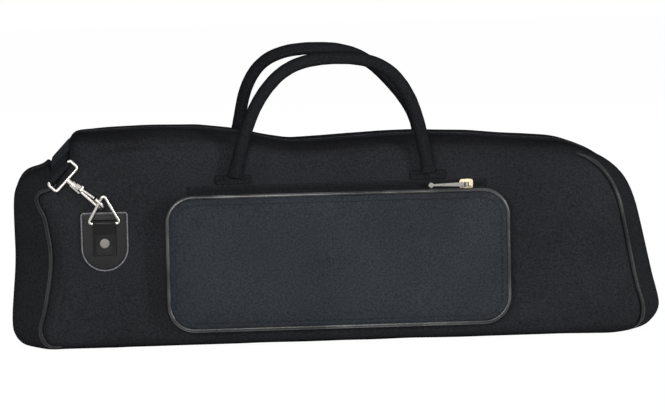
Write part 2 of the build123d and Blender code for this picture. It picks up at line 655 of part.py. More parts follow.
with BuildPart() as shoulder_strap:
    with BuildSketch(slope_plane):
        with BuildLine():
            FilletPolyline(
                (STRAP_OVER, SIDE * (SPLIT - CLEAR)),
                (STRAP_OVER, SIDE * (HALF_DEPTH + STRAP_MID)),
                (-EDGE_ROUND - STRAP_THICK, SIDE * (HALF_DEPTH + STRAP_MID)),
                radius=STRAP_CORNER,
            )
        trace(line_width=STRAP_THICK)
    extrude(amount=STRAP_WIDTH / 2, both=True)
    with BuildSketch(FRONT.offset(-STRAP_BACK_Y)):
        with BuildLine():
            FilletPolyline(STRAP_ROUTE, radius=STRAP_BENDS)
        trace(line_width=STRAP_WIDTH)
    extrude(amount=-STRAP_THICK)
    with BuildSketch(FRONT.offset(-STRAP_BACK_Y - STRAP_THICK)):
        with BuildLine():
            FilletPolyline(STRAP_ROUTE, radius=STRAP_BENDS)
        trace(line_width=STRAP_WIDTH)
        with Locations((ADJUSTER_X - 2 * LENGTH_LEFT, 0)):
            Rectangle(4 * LENGTH_LEFT, 4 * LENGTH_LEFT, mode=Mode.SUBTRACT)
    extrude(amount=-STRAP_THICK)
    with BuildSketch(Plane.XY.offset(REAR_TAB_Z)):
        with BuildLine():
            Polyline(
                (BAR_X, rear_hook_origin.Y),
                (BAR_X - STRAP_RISE + STRAP_THICK, STRAP_BACK_Y + STRAP_THICK),
                (BAR_X - STRAP_RISE - STRAP_THICK, STRAP_BACK_Y + STRAP_THICK),
            )
        trace(line_width=STRAP_THICK)
        with Locations((BAR_X, rear_hook_origin.Y)):
            Circle(STRAP_LOOP_R + STRAP_THICK)
            Circle(STRAP_LOOP_R, mode=Mode.SUBTRACT)
    extrude(amount=STRAP_WIDTH / 2, both=True)
save(shoulder_strap, "shoulder_strap")

WINDOW = (ADJUSTER_LENGTH - 3 * ADJUSTER_BAR) / 2

with BuildPart() as strap_adjuster:
    with BuildSketch(FRONT.offset(-STRAP_BACK_Y - STRAP_THICK)):
        with Locations((ADJUSTER_X - ADJUSTER_LENGTH / 2, STRAP_ROUTE[2][1])):
            RectangleRounded(ADJUSTER_LENGTH, STRAP_WIDTH + 4 * ADJUSTER_BAR, ADJUSTER_BAR)
            with Locations((-(WINDOW + ADJUSTER_BAR) / 2, 0), ((WINDOW + ADJUSTER_BAR) / 2, 0)):
                Rectangle(WINDOW, STRAP_WIDTH + ADJUSTER_BAR, mode=Mode.SUBTRACT)
    extrude(amount=-ADJUSTER_THICK)
save(strap_adjuster, "strap_adjuster")
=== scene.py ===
import math

import bmesh
import bpy
import numpy as np
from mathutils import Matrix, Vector, kdtree, noise


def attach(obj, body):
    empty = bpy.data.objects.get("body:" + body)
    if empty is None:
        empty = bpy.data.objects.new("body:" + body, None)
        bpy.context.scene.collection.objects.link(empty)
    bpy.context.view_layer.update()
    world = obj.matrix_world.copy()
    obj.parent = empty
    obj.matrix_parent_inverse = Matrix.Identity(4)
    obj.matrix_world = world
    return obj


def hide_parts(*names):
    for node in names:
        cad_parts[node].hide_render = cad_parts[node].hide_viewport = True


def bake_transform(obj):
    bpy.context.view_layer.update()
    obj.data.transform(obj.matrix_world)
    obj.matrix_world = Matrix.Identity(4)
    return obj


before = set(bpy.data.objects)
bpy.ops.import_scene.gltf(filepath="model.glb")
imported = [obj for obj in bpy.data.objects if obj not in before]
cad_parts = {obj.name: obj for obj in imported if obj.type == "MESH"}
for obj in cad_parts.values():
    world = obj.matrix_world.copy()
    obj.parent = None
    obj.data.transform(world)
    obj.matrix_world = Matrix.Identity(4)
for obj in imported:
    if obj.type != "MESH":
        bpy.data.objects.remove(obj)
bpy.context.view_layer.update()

bl_info = {
    "name": "Soft Trumpet Case",
    "version": (1, 0, 0),
    "blender": (4, 5, 0),
    "location": "View3D > Sidebar > Trumpet Case",
    "description": "Dresses the jointed frame of a soft trumpet case in padded cloth, piping and hardware",
    "category": "Add Mesh",
}

Y_AXIS = np.array([0.0, 1.0, 0.0])
Z_AXIS = np.array([0.0, 0.0, 1.0])
WHITE = (1.0, 1.0, 1.0, 1.0)
SPECKLE = 0.36                  # how far single yarns leave the colour of a cloth
CLOTH_FRAMES = 20               # frames over which the padding settles
ARC_STEP = 0.002
SHELL_RING = 620                # points round a shell

# ---------------------------------------------------------------- places in the frame, in metres
LEFT = -0.287
HEIGHT = 0.176
HALF_DEPTH = 0.071
WALL = 0.006
EDGE_ROUND = 0.020
SEAM_Y = 0.065
SEAM_INSET = 0.0057
SPLIT = 0.002
ZIP_FOOT = 0.052
ZIP_REBATE = 0.0018              # the zip tape lies this deep in the gussets
TAPE_EDGE = 0.0122
LEFT_PIPE_REACH = -0.250         # where the beads dive into the seam
RIGHT_PIPE_REACH = 0.220
PIPE_FOOT = 0.010
PIPE_RADIUS = 0.0021
CORNERS = [                     # outline of the case in x and z, with the corner radii
    (LEFT, 0.0, 0.030),
    (LEFT, 0.146, 0.023),
    (-0.258, 0.146, 0.010),
    (-0.230, HEIGHT, 0.016),
    (0.256, HEIGHT, 0.075),
    (0.295, 0.0, 0.030),
]
POCKET_X = 0.002
POCKET_Z = 0.0785
POCKET_HALF = (0.153, 0.0595)
POCKET_CORNER = 0.023
POCKET_SEAM_Y = -0.086
POCKET_ZIP_X = 0.003
POCKET_ZIP_Z = 0.1428
POCKET_ZIP_HALF = 0.131
POCKET_RING = 420               # points round the pocket
HANDLE_X = -0.003
HANDLE_HALF = 0.088
HANDLE_Y = 0.0795
HANDLE_FOOT = 0.154
HANDLE_RISE = 0.098
HANDLE_LEAN = 0.028
HANDLE_R = 0.0061
TAB_FRAMES = {                  # origin under the ring's bar, across, towards the ring's apex, outwards
    "front": ((-0.207386, -HALF_DEPTH, 0.116502), (1, 0, 0), (0, 0, 1), (0, -1, 0)),
    "rear": ((0.208, HALF_DEPTH, 0.092), (0, 0, -1), (-1, 0, 0), (0, 1, 0)),
}
SLOPE_MID = np.array([-0.244, 0.0, 0.161])
SLOPE_OUT = np.array([-0.7311, 0.0, 0.6823])
FRONT_EYE = (-0.07479, 0.0035)   # y of the strap's front end, and its height off the slope
REAR_BAR = (0.14035, 0.0752)      # x and y of the bar that holds the strap's rear end
REAR_TAB_Z = 0.092
BAR_WRAP = 0.00245              # radius of the folds round the bars
STRAP_SINK = 0.00065            # half the thickness of the webbing
STRAP_POINTS = 240
STRAP_ROUTE = [
    (-0.2304, 0.1474), (-0.165, 0.088), (-0.085, 0.055), (0.010, 0.058), (0.075, REAR_TAB_Z),
    (0.128, REAR_TAB_Z),
]
KEEPER_X = -0.020
HANDLE_POINTS = 240
LAMP_TARGET = (0, 0, 0.1)
LAMPS = [                       # name, place, size, power in watts
    ("key", (-0.5, -2.9, 0.7), (1.5, 0.7), 62),
    ("top", (0.2, -0.6, 2.0), (1.6, 0.4), 2),
    ("fill", (2.0, -1.9, 0.5), (0.5, 1.0), 34),
    ("back", (0.3, 2.2, 1.4), (2.0, 1.0), 14),
]


class CaseSizes(bpy.types.PropertyGroup):
    """Sizes of the dressed case that a user would change."""

    cloth_voxel: bpy.props.FloatProperty(
        name="Cloth voxel", description="Grid size of the padded skins", default=0.0042, min=0.003,
        max=0.008, unit="LENGTH",
    )
    sag: bpy.props.FloatProperty(
        name="Sag", description="How far the soft walls leave their patterns, as a share", default=1.0,
        min=0.0, max=1.5, subtype="FACTOR",
    )
    pressure: bpy.props.FloatProperty(
        name="Padding pressure", description="Pressure that plumps the padded walls", default=4.0, min=0.0,
        max=10.0,
    )
    stitch: bpy.props.FloatProperty(
        name="Stitch", description="Length of one stitch", default=0.0030, min=0.001, max=0.006,
        unit="LENGTH",
    )
    tooth_pitch: bpy.props.FloatProperty(
        name="Tooth pitch", description="Distance between zip teeth", default=0.0022, min=0.001, max=0.005,
        unit="LENGTH",
    )


class CaseColours(bpy.types.PropertyGroup):
    """Colours of the dressed case, linear."""

    cloth: bpy.props.FloatVectorProperty(
        name="Cloth", description="Woven outer cloth", subtype="COLOR", size=3,
        default=(0.0120, 0.0124, 0.0138), min=0.0, max=1.0,
    )
    vinyl: bpy.props.FloatVectorProperty(
        name="Vinyl", description="Piping and leather-look tabs", subtype="COLOR", size=3,
        default=(0.0100, 0.0102, 0.0112), min=0.0, max=1.0,
    )
    thread: bpy.props.FloatVectorProperty(
        name="Thread", description="Pale sewing thread", subtype="COLOR", size=3,
        default=(0.16, 0.16, 0.17), min=0.0, max=1.0,
    )
    nickel: bpy.props.FloatVectorProperty(
        name="Nickel", description="Hooks, rings and rivets", subtype="COLOR", size=3,
        default=(0.55, 0.53, 0.49), min=0.0, max=1.0,
    )
    gold: bpy.props.FloatVectorProperty(
        name="Zip metal", description="Sliders and pullers", subtype="COLOR", size=3,
        default=(0.70, 0.58, 0.40), min=0.0, max=1.0,
    )
    lining: bpy.props.FloatVectorProperty(
        name="Lining", description="Brushed lining", subtype="COLOR", size=3,
        default=(0.030, 0.031, 0.036), min=0.0, max=1.0,
    )


# ---------------------------------------------------------------- outline and soft shape
def rounded_loop(corners, inset=0.0):
    """Closed loop of 2-D points through rounded corners (x, z, radius), shrunk by inset."""
    points = [Vector((c[0], c[1])) for c in corners]
    turning = sum(a.x * b.y - a.y * b.x for a, b in zip(points, points[1:] + points[:1]))
    path = []
    for i, corner in enumerate(corners):
        at = points[i]
        back = (points[i - 1] - at).normalized()
        ahead = (points[(i + 1) % len(points)] - at).normalized()
        half = math.acos(max(-1.0, min(1.0, back.dot(ahead)))) / 2
        convex = (ahead.x * back.y - ahead.y * back.x) * turning > 0
        centre = at + (back + ahead).normalized() * (corner[2] / math.sin(half))
        reach = max(corner[2] - inset, 1e-4) if convex else corner[2] + inset
        start = (at + back * (corner[2] / math.tan(half)) - centre).normalized()
        end = (at + ahead * (corner[2] / math.tan(half)) - centre).normalized()
        sweep = math.acos(max(-1.0, min(1.0, start.dot(end))))
        sense = 1 if start.x * end.y - start.y * end.x > 0 else -1
        count = max(4, int(sweep * reach / ARC_STEP))
        for k in range(count + 1):
            c, s = math.cos(sense * sweep * k / count), math.sin(sense * sweep * k / count)
            path.append((centre.x + (start.x * c - start.y * s) * reach,
                         centre.y + (start.x * s + start.y * c) * reach))
    return np.array(path)


def spaced(path, count, closed=False):
    """The same path with count points spaced evenly along it."""
    points = np.asarray(path, float)
    if closed:
        points = np.vstack([points, points[:1]])
    steps = np.linalg.norm(np.diff(points, axis=0), axis=1)
    along = np.concatenate([[0], np.cumsum(steps)])
    where = np.linspace(0, along[-1], count, endpoint=not closed)
    return np.stack([np.interp(where, along, points[:, k]) for k in range(points.shape[1])], axis=1)


def outline(inset, count):
    return spaced(rounded_loop(CORNERS, inset), count, closed=True)


def in_space(flat, y):
    """A path in x and z stood up at the depth y."""
    return np.stack([flat[:, 0], np.full(len(flat), y), flat[:, 1]], axis=1)


def unit(vectors):
    return vectors / np.linalg.norm(vectors, axis=1)[:, None]


def run_order(inside):
    """Places, in order, of the one open run of a closed loop whose points are marked inside."""
    count = len(inside)
    start = next(i for i in range(count) if inside[i] and not inside[i - 1])
    return [(start + k) % count for k in range(int(inside.sum()))]


def relaxed(path, passes, reach):
    """The path eased by many small averagings and held over reach points at both ends."""
    eased = path.copy()
    for _ in range(passes):
        eased[1:-1] = 0.5 * eased[1:-1] + 0.25 * (eased[:-2] + eased[2:])
    along = np.arange(len(path))
    hold = np.clip(np.minimum(along, along[::-1]) / reach, 0, 1)[:, None]
    return path * (1 - hold) + eased * hold


def outward(loop):
    """Directions away from a closed 2-D loop at each point."""
    ahead = np.roll(loop, -1, axis=0) - np.roll(loop, 1, axis=0)
    out = unit(np.stack([ahead[:, 1], -ahead[:, 0]], axis=1))
    if np.sum(out * (loop - loop.mean(axis=0))) < 0:
        out = -out
    return out


def smooth_step(value, low, high):
    t = np.clip((value - low) / (high - low), 0, 1)
    return t * t * (3 - 2 * t)


def bump_at(value, centre, width):
    return np.exp(-(((value - centre) / width) ** 2))


TOP_LINE = [                    # how far the top stands off its pattern, (x, rise)
    (-0.263, 0.000), (-0.258, 0.008), (-0.251, 0.0165), (-0.240, 0.0180), (-0.228, 0.0165), (-0.212, 0.0180),
    (-0.170, 0.0195), (-0.120, 0.0185), (-0.085, 0.0140), (-0.055, 0.0070), (-0.036, 0.0035),
    (0.000, 0.0050), (0.050, 0.0075), (0.085, 0.0080), (0.130, 0.0060), (0.160, 0.0030), (0.200, 0.0),
    (0.240, 0.0010), (0.280, 0.0),
]


def top_rise(x):
    """Rise of the top at x, in metres, smoothed between the listed places."""
    grid = np.linspace(-0.30, 0.31, 306)
    line = np.interp(grid, [a for a, _ in TOP_LINE], [b for _, b in TOP_LINE])
    kernel = np.exp(-(np.arange(-10, 11) / 3.0) ** 2)
    line = np.convolve(np.pad(line, 10, mode="edge"), kernel / kernel.sum(), mode="valid")
    return np.interp(x, grid, line)


def soft_shift(points):
    """How far the stuffed cloth leaves its pattern at each point, in metres."""
    points = np.asarray(points, float)
    x, y, z = points[:, 0], points[:, 1], points[:, 2]
    shift = np.zeros_like(points)
    edge = smooth_step(np.abs(y), 0.020, 0.066)
    crown = 1 - edge
    low = 1 - smooth_step(z, 0.118, 0.146)
    left = 1 - smooth_step(x, LEFT + 0.004, -0.236)
    right = smooth_step(x, 0.232, 0.284)
    waist = bump_at(z, 0.085, 0.045)
    base = 1 - smooth_step(z, 0.0, 0.045)
    shift[:, 0] += edge * left * (0.0165 * (0.25 + 0.75 * low) + 0.0100 * waist - 0.0070 * base)
    shift[:, 0] -= 0.0065 * edge * right
    roll = bump_at(np.abs(y), 0.036, 0.017)
    shift[:, 0] += 0.0110 * roll * smooth_step(x, 0.215, 0.262) * smooth_step(z, 0.0, 0.03)
    foot = (1 - smooth_step(x, LEFT, -0.250)) * (1 - smooth_step(z, 0.02, 0.09))
    shift[:, 0] -= roll * (0.0045 * left + 0.0060 * foot)
    shift[:, 2] -= np.minimum(0.0060 * foot * (0.4 + 0.6 * crown), np.maximum(z, 0) * 0.55)
    high = smooth_step(z, 0.125, HEIGHT)
    shift[:, 2] += high * top_rise(x) * (0.85 + 0.15 * crown)
    cap = (1 - smooth_step(x, -0.258, -0.250)) * smooth_step(z, 0.095, 0.146)
    shift[:, 2] += 0.0150 * cap * (0.25 + 0.75 * np.maximum(crown, roll))
    peak = bump_at(x, -0.229, 0.009) * bump_at(z, HEIGHT, 0.009)
    shift[:, 0] -= 0.0020 * peak
    shift[:, 2] += 0.0015 * peak
    toe = smooth_step(x, 0.248, 0.288) * (1 - smooth_step(z, 0.008, 0.055))
    shift[:, 0] += 0.0050 * toe
    shift[:, 2] -= 0.55 * toe * np.clip(z, 0, 0.012)
    belly = smooth_step(x, 0.165, 0.200) * (1 - smooth_step(x, 0.250, 0.285)) * bump_at(z, 0.080, 0.05)
    shift[:, 1] += np.sign(y) * edge * 0.0035 * belly
    return shift * bpy.context.scene.case_sizes.sag


def folds(points, rows):
    """Heights of slack folds; each row is (x, z, turn, length, width, height) of one fold on the walls."""
    height = np.zeros(len(points))
    for x, z, turn, length, width, high in rows:
        c, s = math.cos(math.radians(turn)), math.sin(math.radians(turn))
        along = (points[:, 0] - x) * c + (points[:, 2] - z) * s
        across = -(points[:, 0] - x) * s + (points[:, 2] - z) * c + 0.004 * np.sin(along * 55)
        height += high * bump_at(along, 0, length) * bump_at(across, 0, width)
    return height


def ripple(points, scale, seed):
    """Slow unevenness of the padding, from -1 to 1."""
    return np.array([noise.noise(Vector((p[0] * scale + seed, p[1] * scale, p[2] * scale))) for p in points])


# ---------------------------------------------------------------- mesh helpers
def new_object(name, verts, faces, smooth=True):
    mesh = bpy.data.meshes.new(name)
    mesh.from_pydata([tuple(v) for v in verts], [], [tuple(f) for f in faces])
    mesh.update()
    build = bmesh.new()
    build.from_mesh(mesh)
    bmesh.ops.recalc_face_normals(build, faces=build.faces)
    build.to_mesh(mesh)
    build.free()
    mesh.polygons.foreach_set("use_smooth", [smooth] * len(mesh.polygons))
    obj = bpy.data.objects.new(name, mesh)
    bpy.context.scene.collection.objects.link(obj)
    return obj


def coords(mesh, field="co"):
    data = np.empty(len(mesh.vertices) * 3)
    mesh.vertices.foreach_get(field, data)
    return data.reshape(-1, 3)


def set_coords(obj, data):
    obj.data.vertices.foreach_set("co", np.ascontiguousarray(data, float).ravel())
    obj.data.update()


def apply_modifiers(obj):
    bpy.context.view_layer.update()
    evaluated = obj.evaluated_get(bpy.context.evaluated_depsgraph_get())
    mesh = bpy.data.meshes.new_from_object(evaluated)
    old = obj.data
    obj.modifiers.clear()
    obj.data = mesh
    bpy.data.meshes.remove(old)
    mesh.name = obj.name
    mesh.polygons.foreach_set("use_smooth", [True] * len(mesh.polygons))


def remesh(obj, voxel, iterations=3):
    """Turns a hard solid into one even, soft-edged skin."""
    step = obj.modifiers.new("skin", "REMESH")
    step.mode = "VOXEL"
    step.voxel_size = voxel
    soften = obj.modifiers.new("soften", "SMOOTH")
    soften.factor = 0.5
    soften.iterations = iterations
    apply_modifiers(obj)


def subdivide(obj):
    step = obj.modifiers.new("even", "SUBSURF")
    step.levels = 1
    step.render_levels = 1
    apply_modifiers(obj)


def plump(obj, pinned, cap):
    """Blows the padded skin up against its own stiffness. Pinned points stay, and no point goes past cap."""
    scene = bpy.context.scene
    start = coords(obj.data)
    group = obj.vertex_groups.new(name="pinned")
    for weight in (1.0, 0.6, 0.3):
        chosen = np.nonzero((pinned >= weight) & (pinned < weight + 0.31))[0]
        group.add([int(i) for i in chosen], weight, "REPLACE")
    cloth = obj.modifiers.new("padding", "CLOTH")
    cloth.settings.quality = 4
    cloth.settings.mass = 0.3
    cloth.settings.tension_stiffness = 18
    cloth.settings.compression_stiffness = 12
    cloth.settings.bending_stiffness = 1.5
    cloth.settings.vertex_group_mass = group.name
    cloth.settings.use_pressure = True
    cloth.settings.uniform_pressure_force = scene.case_sizes.pressure
    cloth.settings.effector_weights.gravity = 0
    cloth.collision_settings.use_collision = False
    cloth.collision_settings.use_self_collision = False
    cloth.point_cache.frame_start = 1
    cloth.point_cache.frame_end = CLOTH_FRAMES
    scene.frame_start = 1
    scene.frame_end = CLOTH_FRAMES
    for number in range(1, CLOTH_FRAMES + 1):
        scene.frame_set(number)
    evaluated = obj.evaluated_get(bpy.context.evaluated_depsgraph_get())
    end = coords(evaluated.to_mesh())
    evaluated.to_mesh_clear()
    obj.modifiers.clear()
    obj.vertex_groups.clear()
    scene.frame_set(1)
    if len(end) != len(start) or not np.all(np.isfinite(end)):
        raise RuntimeError(f"{obj.name}: the padding simulation failed")
    move = end - start
    length = np.linalg.norm(move, axis=1)
    limit = cap * np.tanh(length / cap) / np.maximum(length, 1e-9)
    set_coords(obj, start + move * limit[:, None] * (1 - pinned)[:, None])


def rings_object(name, rings, closed_ends=True):
    """A skin through rings that all have the same number of points, capped at both ends."""
    count = len(rings[0])
    faces = []
    for r in range(len(rings) - 1):
        for k in range(count):
            m = (k + 1) % count
            faces.append((r * count + k, r * count + m, (r + 1) * count + m, (r + 1) * count + k))
    if closed_ends:
        faces.append(tuple(range(count)))
        faces.append(tuple((len(rings) - 1) * count + k for k in range(count)))
    return new_object(name, np.vstack(rings), faces)


def directions(path, closed):
    ahead = np.roll(path, -1, axis=0) - np.roll(path, 1, axis=0)
    if not closed:
        ahead[0] = path[1] - path[0]
        ahead[-1] = path[-1] - path[-2]
    return ahead / np.maximum(np.linalg.norm(ahead, axis=1), 1e-12)[:, None]


def sweep(name, path, section, out, closed=False):
    """A skin that carries sections, lists of (side, out) points, along a 3-D path. out is the
    direction off the surface at each path point, or one direction for all."""
    path = np.asarray(path, float)
    out = np.asarray(out, float)
    if out.ndim == 1:
        out = np.tile(out, (len(path), 1))
    ahead = directions(path, closed)
    side = np.cross(ahead, out)
    side /= np.maximum(np.linalg.norm(side, axis=1), 1e-12)[:, None]
    off = np.cross(side, ahead)
    rings = []
    for i in range(len(path)):
        shape = section(i / (len(path) - 1)) if callable(section) else section
        rings.append(np.array([path[i] + side[i] * s + off[i] * o for s, o in shape]))
    if closed:
        rings.append(rings[0])
    return rings_object(name, rings, closed_ends=not closed)


def circle(radius, around=12):
    turns = [2 * math.pi * k / around for k in range(around)]
    return [(radius * math.cos(t), radius * math.sin(t)) for t in turns]


def sunk(section, depth):
    return [(s, o - depth) for s, o in section]


def ribbon(width, thick):
    """Section of a tape or webbing: flat with softly rounded edges, its underside at out 0."""
    w, r = width / 2, thick * 0.4
    return [
        (-w, r), (-w + r, 0), (-w / 2, 0), (0, 0), (w / 2, 0), (w - r, 0), (w, r),
        (w, thick - r), (w - r, thick), (w / 2, thick), (0, thick), (-w / 2, thick), (-w + r, thick),
        (-w, thick - r),
    ]


def pad(name, loop, place, thick, crown=0.0, edge=0.0006):
    """A soft plate over a closed 2-D loop: rounded edge, crowned top. place is (origin, x, y, out)."""
    origin, across, up, out = (np.asarray(v, float) for v in place)
    centre = loop.mean(axis=0)
    inwards = -outward(loop)
    levels = [(0.0, 0.0), (0.0, thick * 0.45), (edge * 0.35, thick * 0.8), (edge, thick)]
    rings = [loop + inwards * i for i, _ in levels]
    heights = [np.full(len(loop), h) for _, h in levels]
    for share in (0.93, 0.82, 0.66, 0.45, 0.22, 0.03):
        rings.append(centre + (loop + inwards * edge - centre) * share)
        heights.append(np.full(len(loop), thick + crown * (1 - share**2) ** 0.7))
    solid = [origin + np.outer(r[:, 0], across) + np.outer(r[:, 1], up) + np.outer(h, out)
             for r, h in zip(rings, heights)]
    return rings_object(name, solid)


def capsule(length, width, height):
    """A stitch or tooth: a six-sided bar with pinched ends, lying along x."""
    verts, faces = [], []
    stations = [(-0.5, 0.5), (-0.3, 0.95), (0.3, 0.95), (0.5, 0.5)]
    for a, s in stations:
        for k in range(6):
            turn = 2 * math.pi * (k + 0.5) / 6
            verts.append((a * length, math.cos(turn) * width / 2 * s, math.sin(turn) * height / 2 * s))
    for r in range(len(stations) - 1):
        for k in range(6):
            m = (k + 1) % 6
            faces.append((r * 6 + k, r * 6 + m, (r + 1) * 6 + m, (r + 1) * 6 + k))
    faces.append((5, 4, 3, 2, 1, 0))
    faces.append(tuple(18 + k for k in range(6)))
    return np.array(verts), faces


def copies(name, places, form):
    """Many copies of one small form; each place is (origin, along, side, out)."""
    base, form_faces = form
    verts, faces = [], []
    for n, (origin, along, side, out) in enumerate(places):
        verts.append(np.outer(base[:, 0], along) + np.outer(base[:, 1], side) + np.outer(base[:, 2], out)
                     + origin)
        faces += [tuple(i + n * len(base) for i in f) for f in form_faces]
    return new_object(name, np.vstack(verts), faces)


def row_places(path, out, pitch, closed=False):
    """Evenly pitched (origin, along, side, out) frames along a path."""
    path = np.asarray(path, float)
    out = np.asarray(out, float)
    if out.ndim == 1:
        out = np.tile(out, (len(path), 1))
    if closed:
        path = np.vstack([path, path[:1]])
        out = np.vstack([out, out[:1]])
    steps = np.linalg.norm(np.diff(path, axis=0), axis=1)
    along = np.concatenate([[0], np.cumsum(steps)])
    count = max(1, int(along[-1] / pitch))
    ahead = directions(path, False)
    places = []
    for n in range(count):
        at = (n + 0.5) * along[-1] / count
        origin, way, off = (
            np.array([np.interp(at, along, data[:, k]) for k in range(3)]) for data in (path, ahead, out)
        )
        way /= max(np.linalg.norm(way), 1e-12)
        off = off - way * np.dot(off, way)
        off /= max(np.linalg.norm(off), 1e-12)
        places.append((origin, way, np.cross(off, way), off))
    return places


def stitches(name, path, out, closed=False, width=0.0008, height=0.0007):
    length = bpy.context.scene.case_sizes.stitch
    return copies(name, row_places(path, out, length, closed), capsule(length * 0.68, width, height))


def merge(name, *objects):
    """Joins pieces of one material into one mesh."""
    build = bmesh.new()
    for obj in objects:
        build.from_mesh(obj.data)
    mesh = bpy.data.meshes.new(name)
    build.to_mesh(mesh)
    build.free()
    for obj in objects:
        old = obj.data
        bpy.data.objects.remove(obj)
        bpy.data.meshes.remove(old)
    result = bpy.data.objects.new(name, mesh)
    bpy.context.scene.collection.objects.link(result)
    return result


def place_piece(obj, body, material, slot, *nodes):
    """Gives a piece its material, its body and the nodes that it stands for."""
    obj.data.materials.clear()
    obj.data.materials.append(bpy.data.materials[material])
    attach(obj, body)
    if nodes:
        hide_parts(*nodes)


def dress(node, material, bevel):
    """Keeps a frame node's own shape and gives it a material and a broken edge."""
    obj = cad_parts[node]
    obj.data.materials.clear()
    obj.data.materials.append(bpy.data.materials[material])
    obj.data.polygons.foreach_set("use_smooth", [True] * len(obj.data.polygons))
    obj.data.set_sharp_from_angle(angle=math.radians(32))
    edge = obj.modifiers.new("broken edge", "BEVEL")
    edge.width = bevel
    edge.segments = 2
    edge.limit_method = "ANGLE"
    edge.angle_limit = math.radians(40)


# ---------------------------------------------------------------- materials
def set_inputs(tree, node, values):
    """Gives each named input its number, or a link where the value is another node's socket."""
    for label, source in values.items():
        if isinstance(source, bpy.types.NodeSocket):
            tree.links.new(source, node.inputs[label])
        else:
            node.inputs[label].default_value = source
    return node


def add_node(tree, kind, values=(), operation=None):
    node = tree.nodes.new(f"ShaderNode{kind}")
    if operation:
        node.operation = operation
    return set_inputs(tree, node, dict(values))


def stretched(tree, value, low, high, start=0.3, end=0.7):
    """A value from start to end spread over low to high."""
    ends = {"Value": value, "From Min": start, "From Max": end, "To Min": low, "To Max": high}
    return add_node(tree, "MapRange", ends).outputs["Result"]


def new_group(name, inputs, outputs):
    """A node group with float inputs (label, default) and outputs (label, kind).
    Gives the tree and its two ends."""
    tree = bpy.data.node_groups.new(name, "ShaderNodeTree")
    for label, default in inputs:
        socket = tree.interface.new_socket(label, in_out="INPUT", socket_type="NodeSocketFloat")
        socket.default_value = default
    for label, kind in outputs:
        tree.interface.new_socket(label, in_out="OUTPUT", socket_type=f"NodeSocket{kind}")
    return tree, tree.nodes.new("NodeGroupInput"), tree.nodes.new("NodeGroupOutput")


def place_group(tree, name, values=()):
    node = tree.nodes.new("ShaderNodeGroup")
    node.node_tree = bpy.data.node_groups[name]
    return set_inputs(tree, node, dict(values))


def grain_group():
    """Woven grain: height, speckle and slow shade of a cloth, from its own coordinates."""
    tree, start, end = new_group("Woven grain", (("Pitch", 900.0), ("Strength", 0.3)),
                                 (("Speckle", "Float"), ("Shade", "Float"), ("Normal", "Vector")))
    place = add_node(tree, "TexCoord").outputs["Object"]
    weave = add_node(tree, "TexVoronoi", {"Vector": place, "Scale": start.outputs["Pitch"],
                                          "Randomness": 0.55})
    fuzz = add_node(tree, "TexNoise", {"Vector": place, "Scale": 650.0, "Detail": 3.0})
    slow = add_node(tree, "TexNoise", {"Vector": place, "Scale": 14.0, "Detail": 2.0})
    height = add_node(tree, "Math", {0: fuzz.outputs["Fac"], 1: weave.outputs["Distance"]}, "SUBTRACT")
    bump = add_node(tree, "Bump", {"Distance": 0.0005, "Strength": start.outputs["Strength"],
                                   "Height": height.outputs[0]})
    set_inputs(tree, end, {"Speckle": fuzz.outputs["Fac"], "Shade": slow.outputs["Fac"],
                           "Normal": bump.outputs["Normal"]})


def vinyl_group():
    """Pores and slow gloss of pressed vinyl, from its own coordinates."""
    tree, start, end = new_group("Vinyl pores", (("Pitch", 900.0), ("Strength", 0.18)),
                                 (("Gloss", "Float"), ("Normal", "Vector")))
    place = add_node(tree, "TexCoord").outputs["Object"]
    pores = add_node(tree, "TexVoronoi", {"Vector": place, "Scale": start.outputs["Pitch"]})
    slow = add_node(tree, "TexNoise", {"Vector": place, "Scale": 26.0, "Detail": 3.0})
    bump = add_node(tree, "Bump", {"Distance": 0.0003, "Strength": start.outputs["Strength"],
                                   "Height": pores.outputs["Distance"]})
    set_inputs(tree, end, {"Gloss": slow.outputs["Fac"], "Normal": bump.outputs["Normal"]})


def metal_group():
    """Wear of small plated parts: roughness and a faint uneven normal."""
    tree, _, end = new_group("Plated wear", (), (("Wear", "Float"), ("Normal", "Vector")))
    place = add_node(tree, "TexCoord").outputs["Object"]
    spots = add_node(tree, "TexNoise", {"Vector": place, "Scale": 420.0, "Detail": 4.0}).outputs["Fac"]
    bump = add_node(tree, "Bump", {"Strength": 0.08, "Distance": 0.0002, "Height": spots})
    set_inputs(tree, end, {"Wear": spots, "Normal": bump.outputs["Normal"]})


def blank_material(name):
    material = bpy.data.materials.new(name)
    material.use_nodes = True
    return material.node_tree, material.node_tree.nodes["Principled BSDF"]


def woven_material(name, colour, pitch, strength, roughness, sheen):
    tree, shader = blank_material(name)
    grain = place_group(tree, "Woven grain", {"Pitch": pitch, "Strength": strength}).outputs
    speckle = stretched(tree, grain["Speckle"], 1 - SPECKLE, 1 + SPECKLE)
    shade = stretched(tree, grain["Shade"], 0.9, 1.12)
    both = add_node(tree, "Math", {0: speckle, 1: shade}, "MULTIPLY")
    tint = add_node(tree, "VectorMath", {0: tuple(colour), "Scale": both.outputs[0]}, "SCALE")
    set_inputs(tree, shader, {
        "Base Color": tint.outputs[0], "Normal": grain["Normal"], "Roughness": roughness,
        "Specular IOR Level": 0.0, "Sheen Weight": sheen, "Sheen Roughness": 0.45,
        "Sheen Tint": (0.55, 0.60, 0.70, 1.0),
    })


def vinyl_material(name, colour, roughness, pitch, specular, coat):
    tree, shader = blank_material(name)
    pores = place_group(tree, "Vinyl pores", {"Pitch": pitch, "Strength": 0.18}).outputs
    set_inputs(tree, shader, {
        "Roughness": stretched(tree, pores["Gloss"], roughness - 0.10, roughness + 0.14),
        "Normal": pores["Normal"], "Base Color": (*colour, 1.0), "Specular IOR Level": specular,
        "Coat Weight": stretched(tree, pores["Gloss"], 0.0, coat, 0.40, 0.62), "Coat Roughness": 0.18,
    })


